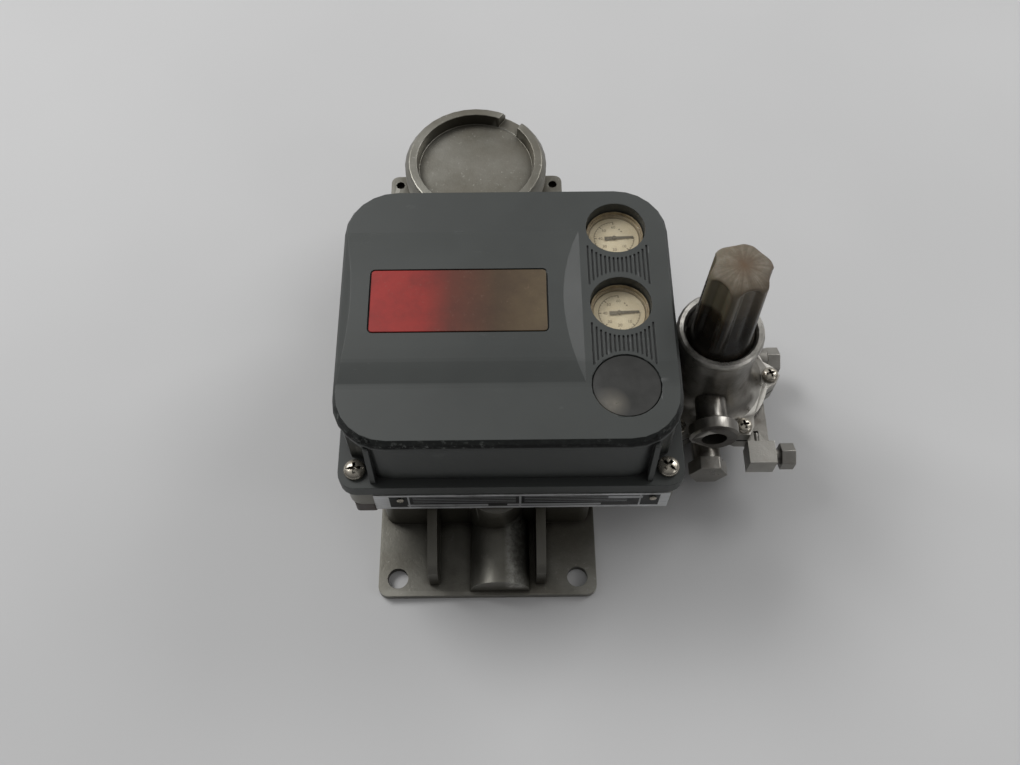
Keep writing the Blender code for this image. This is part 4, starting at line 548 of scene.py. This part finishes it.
def crisp_folds(mesh, fold):
    """Keep the folds between upward faces sharp from a smaller angle on."""
    sharp = mesh.attributes.get("sharp_edge") or mesh.attributes.new("sharp_edge", "BOOLEAN", "EDGE")
    beside = {}
    for face in mesh.polygons:
        for key in face.edge_keys:
            beside.setdefault(key, []).append(face.normal)
    for edge in mesh.edges:
        normals = beside.get(edge.key, [])
        upward = len(normals) == 2 and min(n.z for n in normals) > 0.75
        if upward and normals[0].angle(normals[1]) > math.radians(fold):
            sharp.data[edge.index].value = True


def stand_for(node, piece, look=None):
    """Give a new piece its body, slot and material, in place of a CAD node."""
    piece.data.materials.clear()
    piece.data.materials.append(LOOKS[look or SLOT_OF[node]])
    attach(piece, BODY_OF[node])
    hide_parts(node)
    return piece


def dress(node, width, look=None, angle=32, grid=(), fold=0):
    """Copy of a CAD node with its triangles joined into whole faces and its edges rounded.

    grid cuts the faces into even strips, so wide curved faces shade evenly; each entry is an axis, a step
    and a count."""
    shape = bmesh.new()
    shape.from_mesh(NODES[node].data)
    bmesh.ops.remove_doubles(shape, verts=shape.verts, dist=WELD)
    bmesh.ops.dissolve_limit(shape, angle_limit=math.radians(FLAT_ANGLE), verts=shape.verts,
                             edges=shape.edges)
    for along, step, reach in grid:
        normal = Vector((0, 0, 0))
        normal[along] = 1.0
        for i in range(-reach, reach + 1):
            everything = shape.verts[:] + shape.edges[:] + shape.faces[:]
            bmesh.ops.bisect_plane(shape, geom=everything, dist=ON_PLANE, plane_co=normal * (i * step),
                                   plane_no=normal)
    piece = made_piece(node + "_look", shape)
    finish_mesh(piece, width, angle)
    if fold:
        crisp_folds(piece.data, fold)
    return stand_for(node, piece, look)


def around(centre, reach, angle):
    """Place seen from above, at a reach and an angle in radians from a centre."""
    return centre[0] + reach * math.cos(angle), centre[1] + reach * math.sin(angle)


def turned(profile, count, centre):
    """Solid turned round Z from radii and heights in metres, closed on the axis or a ring."""
    shape = bmesh.new()
    rings = []
    for radius, z in profile:
        spots = [around(centre, radius, TAU * i / count) for i in range(count if radius else 1)]
        rings.append([shape.verts.new((*spot, z)) for spot in spots])
    pairs = list(zip(rings, rings[1:]))
    if profile[0][0] > 0:
        pairs.append((rings[-1], rings[0]))
    for low, high in pairs:
        for i in range(count):
            j = (i + 1) % count
            points = [low[i % len(low)], low[j % len(low)], high[j % len(high)], high[i % len(high)]]
            shape.faces.new(list(dict.fromkeys(points)))
    bmesh.ops.recalc_face_normals(shape, faces=shape.faces)
    return shape


def block(low, high, turn, centre):
    """Box between two corners, turned in degrees about a place."""
    shape = bmesh.new()
    bmesh.ops.create_cube(shape, size=1.0)
    middle = (Vector(low) + Vector(high)) / 2
    size = Vector(high) - Vector(low)
    spot = Vector((*centre, 0))
    shape.transform(Matrix.Translation(spot) @ Matrix.Rotation(math.radians(turn), 4, "Z")
                    @ Matrix.Translation(middle) @ Matrix.Diagonal((*size, 1)))
    return shape


def arc_band(inner, outer, start, end, low, high, centre, steps=90):
    """Flat ring segment between two angles in degrees and two heights."""
    shape = bmesh.new()
    section = ((inner, low), (outer, low), (outer, high), (inner, high))
    rings = []
    for i in range(steps + 1):
        angle = math.radians(start + (end - start) * i / steps)
        rings.append([shape.verts.new((*around(centre, radius, angle), z)) for radius, z in section])
    for first, second in zip(rings, rings[1:]):
        for i in range(4):
            j = (i + 1) % 4
            shape.faces.new((first[i], first[j], second[j], second[i]))
    shape.faces.new(rings[0])
    shape.faces.new(list(reversed(rings[-1])))
    bmesh.ops.recalc_face_normals(shape, faces=shape.faces)
    return shape


def merged(shapes):
    """One shape from several."""
    whole = bmesh.new()
    for shape in shapes:
        mesh = bpy.data.meshes.new("work")
        shape.to_mesh(mesh)
        shape.free()
        whole.from_mesh(mesh)
        bpy.data.meshes.remove(mesh)
    return whole


def cut_from(shape, tools):
    """Cut tools from a shape with exact Booleans."""
    for tool in tools:
        items = [made_piece("work", part) for part in (shape, tool)]
        change = items[0].modifiers.new("work", "BOOLEAN")
        change.operation = "DIFFERENCE"
        change.solver = "EXACT"
        change.object = items[1]
        seen = items[0].evaluated_get(bpy.context.evaluated_depsgraph_get())
        shape = bmesh.new()
        shape.from_mesh(seen.to_mesh())
        for item in items:
            mesh = item.data
            bpy.data.objects.remove(item, do_unlink=True)
            bpy.data.meshes.remove(mesh)
    return shape


def extent(node):
    """Lowest and highest corner of a CAD node, with its middle and radius from above."""
    points = [vertex.co for vertex in NODES[node].data.vertices]
    low, high = (Vector(tuple(pick(p[i] for p in points) for i in range(3))) for pick in (min, max))
    return low, high, ((low.x + high.x) / 2, (low.y + high.y) / 2), (high.x - low.x) / 2


def screw_look(node, height, turn, slot_too):
    """Domed pan head with a cross recess, and on the cover screws a slot as well."""
    low, high, centre, full_radius = extent(node)
    radius = full_radius * 0.999
    foot = high.z - height
    shank = 2.2 * MM
    profile = [(0.0, low.z), (shank - 0.4 * MM, low.z), (shank, low.z + 0.4 * MM), (shank, foot),
               (radius * 0.97, foot), (radius, foot + 0.05 * height), (radius, foot + 0.3 * height)]
    steps = 7
    for i in range(1, steps + 1):
        angle = math.pi / 2 * i / steps
        profile.append((radius * math.cos(angle) if i < steps else 0.0,
                        foot + height * (0.3 + 0.7 * math.sin(angle))))
    above = high.z + MM
    arm, wide, deep = 0.56 * radius, 0.15 * radius, high.z - 0.7 * height
    tools = [block((-arm, -wide, deep), (arm, wide, above), turn + step, centre) for step in (0, 90)]
    if slot_too:
        tools.append(block((-1.1 * radius, -0.09 * radius, high.z - 0.34 * height),
                           (1.1 * radius, 0.09 * radius, above), turn, centre))
    piece = made_piece(node + "_look", cut_from(turned(profile, 40, centre), tools))
    finish_mesh(piece, angle=34)
    stand_for(node, piece, "screw")


def printed(name, shape):
    """New small piece printed on a gauge card."""
    piece = made_piece(name, shape)
    finish_mesh(piece)
    piece.data.materials.append(LOOKS["marks"])
    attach(piece, "housing")


def gauge_face(which):
    """Card of a gauge with its graduated arc, marks, small dots and plain numbers."""
    node = "gauge_dial_" + which
    low, high, centre, radius = extent(node)
    top = high.z + DIAL_RISE
    chamfer = 0.3 * MM
    card = turned([(0.0, low.z), (radius, low.z), (radius, top - chamfer), (radius - chamfer, top),
                   (0.0, top)], 96, centre)
    piece = made_piece(node + "_look", card)
    finish_mesh(piece)
    stand_for(node, piece)
    print_low, print_high = top + PRINT_FOOT, top + PRINT_THICK
    marks = [arc_band(radius * 0.78, radius * 0.80, -270, 0, print_low, print_high, centre)]
    for i in range(31):
        major = i % 5 == 0
        start = radius * (0.68 if major else 0.74)
        half = (0.22 if major else 0.11) * MM
        marks.append(block((start, -half, print_low), (radius * 0.79, half, print_high), -9.0 * i, centre))
    dot = 0.4 * MM
    for angle, reach in ((62, 0.5), (48, 0.46)):
        spot = around(centre, radius * reach, math.radians(angle))
        dot_profile = [(0.0, print_low), (dot, print_low), (dot, print_high), (0.0, print_high)]
        marks.append(turned(dot_profile, 12, spot))
    printed(f"gauge_scale_{which}", merged(marks))
    for i in range(7):
        spot = around(centre, radius * 0.54, math.radians(-45.0 * i))
        printed(f"gauge_number_{which}_{i}", number_shape(i * 10, (*spot, top + 0.05 * MM)))


def number_shape(number, spot):
    """Flat digits centred on a place."""
    data = bpy.data.curves.new("number", "FONT")
    data.body = str(number)
    data.size = 2.1 * MM
    data.align_x = data.align_y = "CENTER"
    data.extrude = 0.03 * MM
    item = bpy.data.objects.new("number", data)
    bpy.context.scene.collection.objects.link(item)
    mesh = bpy.data.meshes.new_from_object(item.evaluated_get(bpy.context.evaluated_depsgraph_get()))
    bpy.data.objects.remove(item, do_unlink=True)
    shape = bmesh.new()
    shape.from_mesh(mesh)
    bpy.data.meshes.remove(mesh)
    shape.transform(Matrix.Translation(spot))
    return shape


def needle(which):
    """Gauge needle with a broad tail, a hub and a thin pointer that stands a little above level."""
    node = "gauge_needle_" + which
    low, high = extent(node)[:2]
    centre = extent("gauge_dial_" + which)[2]
    tail, tip = centre[0] - low.x, high.x - centre[0]
    half = 0.42 * (high.y - low.y)
    hub_foot, hub_top = low.z + DIAL_RISE + 0.9 * MM, high.z + DIAL_RISE
    foot, top = (low.z + DIAL_RISE + share * (high.z - low.z) for share in (0.55, 0.75))
    side = [(-0.98 * tail, 0.95), (-0.3 * tail, 0.85), (0.3 * tip, 0.6), (0.985 * tip, 0.34)]
    outline = [(x, -share * half) for x, share in side] + [(x, share * half) for x, share in reversed(side)]
    pointer = bmesh.new()
    rings = [[pointer.verts.new((x, y, z)) for x, y in outline] for z in (foot, top)]
    pointer.faces.new(list(reversed(rings[0])))
    pointer.faces.new(rings[1])
    for i in range(len(outline)):
        j = (i + 1) % len(outline)
        pointer.faces.new((rings[0][i], rings[0][j], rings[1][j], rings[1][i]))
    pointer.transform(Matrix.Translation((*centre, 0)) @ Matrix.Rotation(math.radians(4), 4, "Z"))
    hub = turned([(0, hub_foot), (half, hub_foot), (half, hub_top - 0.2 * MM), (0.8 * half, hub_top),
                  (0, hub_top)], 32, centre)
    piece = made_piece(node + "_look", merged([pointer, hub]))
    finish_mesh(piece)
    stand_for(node, piece, "needle")


def blank_dish():
    """Smooth blank for the third opening, hollowed like a shallow dish."""
    low, high, centre, full_radius = extent("blank_window")
    radius = full_radius - 0.01 * MM
    lip, depth = 0.2 * MM, MM
    profile = [(0.0, low.z), (radius, low.z), (radius, high.z - 3 * lip), (radius - 2 * lip, high.z - lip)]
    steps = 14
    for i in range(steps + 1):
        share = 1 - i / steps
        profile.append(((radius - 4 * lip) * share, high.z - lip - depth * (1 - share * share)))
    piece = made_piece("blank_window_look", turned(profile, 96, centre))
    finish_mesh(piece)
    stand_for("blank_window", piece, "blank_plastic")


def ease(low, high, value):
    """Smooth step from 0 at low to 1 at high."""
    share = min(max((value - low) / (high - low), 0.0), 1.0)
    return share * share * (3 - 2 * share)


def flute_depth(angle, share, flutes=6, first_ridge=12):
    """How deep the cap's flutes cut at an angle in radians and a share of the cap's height."""
    turn = (math.degrees(angle) - first_ridge) * flutes / 360
    from_ridge = abs(turn - round(turn)) * 2
    across = 1 - from_ridge
    arch = 0.85 + 0.1 * math.sqrt(1 - across * across)
    upper_end = 1 - ease(arch - 0.035, arch + 0.03, share)
    return 0.19 * ease(0.1, 0.62, from_ridge) * ease(0.0, 0.12, share) * upper_end


def fluted_cap():
    """Closing cap: broad hollow flutes with arched upper ends between narrow ridges, under a low dome."""
    low, high, centre, radius = extent("closing_cap")
    end = high.z
    foot = end - 52.4 * MM
    count, dome_start = 216, 0.9
    steps = [0.08 * i for i in range(10)] + [0.74 + 0.01 * i for i in range(17)]
    dome_shares = (0.1, 0.2, 0.32, 0.45, 0.58, 0.7, 0.8, 0.88, 0.94, 0.98, 1.0)
    steps += [dome_start + (1 - dome_start) * u for u in dome_shares]
    skirt = -1.0
    levels = [(low.z, skirt), (foot - 3 * MM, skirt)]
    levels += [(foot + share * (end - foot), share) for share in steps]
    angles = [TAU * i / count for i in range(count)]
    shape = bmesh.new()

    def ring(z, reaches):
        """Vertices round the cap at one height."""
        return [shape.verts.new((*around(centre, reach, angle), z)) for reach, angle in zip(reaches, angles)]

    rings = []
    for z, share in levels:
        wide = 0.997 if share == skirt else 0.98 - 0.085 * min(share / dome_start, 1.0)
        up = max(share - dome_start, 0.0) / (1 - dome_start)
        wide *= max(1 - up ** 2, 0.0001) ** (1 / 3.2)
        rings.append(ring(z, [radius * wide * (1 - flute_depth(angle, share)) for angle in angles]))
    inner = [ring(z, [0.59 * radius] * count) for z in (low.z, foot + 0.35 * (end - foot))]
    for first, second in list(zip(rings, rings[1:])) + [(inner[0], rings[0]), (inner[1], inner[0])]:
        for i in range(count):
            j = (i + 1) % count
            shape.faces.new((first[i], first[j], second[j], second[i]))
    shape.faces.new(rings[-1])
    shape.faces.new(inner[1])
    bmesh.ops.recalc_face_normals(shape, faces=shape.faces)
    piece = made_piece("closing_cap_look", shape)
    finish_mesh(piece, angle=50)
    stand_for("closing_cap", piece)


# Edge radius of each dressed node in millimetres; the rest have SMALL_EDGE
SMALL_EDGE = 0.15
WIDTHS = {
    "housing": 0.5, "front_cover": 0.0, "terminal_cap": 0.5, "spring_case": 0.4, "regulator_body": 0.4,
    "drain_valve": 0.6, "front_port_plug": 0.35, "drain_nut": 0.3, "inlet_fitting": 0.3, "vent_cap": 0.5,
    "cover_nameplate": 0.25, "label_plate": 0.1, "electronics_module": 0.6, "pneumatic_relay": 0.8,
    "pressure_converter": 0.6, "module_base": 0.5, "terminal_board": 0.5,
}
# The crowned cover is cut into strips, and its shallow folds stay crisp
COVER_DRESS = {"angle": 18, "fold": 7, "grid": ((0, 5 * MM, 14), (1, 4 * MM, 16))}
# How far each screw happens to be turned, in degrees
TURNS = {"cover_screw_1": 4, "cover_screw_2": 30, "cover_screw_3": -42, "cover_screw_4": 70,
         "case_screw_1": 20, "case_screw_2": 62, "case_screw_3": 8, "case_screw_4": 35,
         "case_screw_5": 50, "case_screw_6": 12}
COVER_SCREW_HEAD, CASE_SCREW_HEAD = 3.4 * MM, 2.9 * MM


def look_of(node):
    """Look that differs from the node's own material slot, or None."""
    if node in ("drain_valve", "drain_nut"):
        return "dull_stainless"
    return "screw" if "screw" in node or "rivet" in node else None


def spring_look(node):
    """Regulator spring, dressed and given a mesh of its own."""
    piece = dress(node, SMALL_EDGE * MM)
    low, high, centre = extent(node)[:3]
    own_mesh(piece)


def dress_nodes():
    """Dressed piece for every node of the part."""
    for node in NODES:
        which = node.rsplit("_", 1)[1] if node.startswith("gauge") else None
        if node == "closing_cap":
            fluted_cap()
        elif node == "blank_window":
            blank_dish()
        elif node == "regulator_spring":
            spring_look(node)
        elif node.startswith("gauge_dial"):
            gauge_face(which)
        elif node.startswith("gauge_needle"):
            needle(which)
        elif node.startswith("cover_screw"):
            screw_look(node, COVER_SCREW_HEAD, TURNS[node], True)
        elif node.startswith("case_screw"):
            screw_look(node, CASE_SCREW_HEAD, TURNS[node], False)
        else:
            extra = COVER_DRESS if node == "front_cover" else {}
            dress(node, WIDTHS.get(node, SMALL_EDGE) * MM, look_of(node), **extra)


def stage_floor():
    """Plain pale floor under the part."""
    shape = bmesh.new()
    bmesh.ops.create_grid(shape, x_segments=1, y_segments=1, size=3.0)
    floor = made_piece("floor", shape)
    floor.location.z = CAD_BOX[0].z - 0.2 * MM
    look = Surface("floor")
    cloud = look.noise(3.0, 3, 0.5)
    look.set(Base_Color=look.ramp(cloud, (0.3, linear(188, 188, 188)), (0.7, linear(196, 196, 196))),
             Roughness=0.8)
    floor.data.materials.append(look.material)


def area(name, place, target, size, power):
    """Soft rectangular lamp that faces a target."""
    data = bpy.data.lights.new(name, "AREA")
    data.shape = "RECTANGLE"
    data.size, data.size_y = size
    data.energy = power
    lamp = bpy.data.objects.new(name, data)
    bpy.context.scene.collection.objects.link(lamp)
    lamp.location = place
    lamp.rotation_mode = "QUATERNION"
    lamp.rotation_quaternion = (Vector(target) - Vector(place)).to_track_quat("-Z", "Y")


def room():
    """Surroundings that are pale above and behind and darker in front, and plain pale to the camera."""
    world = bpy.data.worlds.new("room")
    bpy.context.scene.world = world
    world.use_nodes = True
    tree = world.node_tree
    place = tree.nodes.new("ShaderNodeTexCoord")
    toward = tree.nodes.new("ShaderNodeVectorMath")
    toward.operation = "DOT_PRODUCT"
    toward.inputs[1].default_value = Vector((-0.1, 0.62, 0.78)).normalized()
    shade = tree.nodes.new("ShaderNodeValToRGB")
    dark_end, pale_end = shade.color_ramp.elements
    dark_end.position, dark_end.color = 0.05, (0.13, 0.13, 0.134, 1.0)
    pale_end.position, pale_end.color = 0.95, (0.6, 0.6, 0.6, 1.0)
    tree.links.new(place.outputs["Generated"], toward.inputs[0])
    tree.links.new(toward.outputs["Value"], shade.inputs["Fac"])
    background = tree.nodes["Background"]
    seen = tree.nodes.new("ShaderNodeLightPath")
    pale = tree.nodes.new("ShaderNodeMix")
    pale.data_type = "RGBA"
    pale.inputs["B"].default_value = (0.52, 0.52, 0.52, 1.0)
    tree.links.new(seen.outputs["Is Camera Ray"], pale.inputs["Factor"])
    tree.links.new(shade.outputs["Color"], pale.inputs["A"])
    tree.links.new(pale.outputs["Result"], background.inputs["Color"])
    background.inputs["Strength"].default_value = 0.9


def light():
    """Three soft lamps: a strong one from the left, one from the right and a faint one low in front."""
    area("left", (-1.15, 0.85, 1.5), (0, 0.05, 0), (1.0, 0.8), 24.0)
    area("right", (1.35, 1.05, 1.25), (0, 0, 0.05), (1.0, 0.8), 13.5)
    area("low_right", (1.1, -0.55, 0.8), (0, 0, 0.05), (0.5, 0.4), 1.6)


def camera():
    """Camera as worked out from the photo: its lens, its place and how far it looks down."""
    focal_px, upright_vanishing_px = 1030, 1932
    place, roll = (0, -0.247, 0.500), -0.65
    data = bpy.data.cameras.new("camera")
    data.sensor_width = 36.0
    data.lens = 36.35
    data.clip_start, data.clip_end = 0.01, 20.0
    item = bpy.data.objects.new("camera", data)
    bpy.context.scene.collection.objects.link(item)
    tilt = math.pi / 2 - math.atan(upright_vanishing_px / focal_px)
    item.matrix_world = (Matrix.Rotation(math.radians(roll), 4, "Z") @ Matrix.Translation(place)
                         @ Matrix.Rotation(tilt, 4, "X"))
    bpy.context.scene.camera = item


dress_nodes()
stage_floor()
room()
light()
camera()
bpy.context.scene.view_settings.view_transform = "Standard"
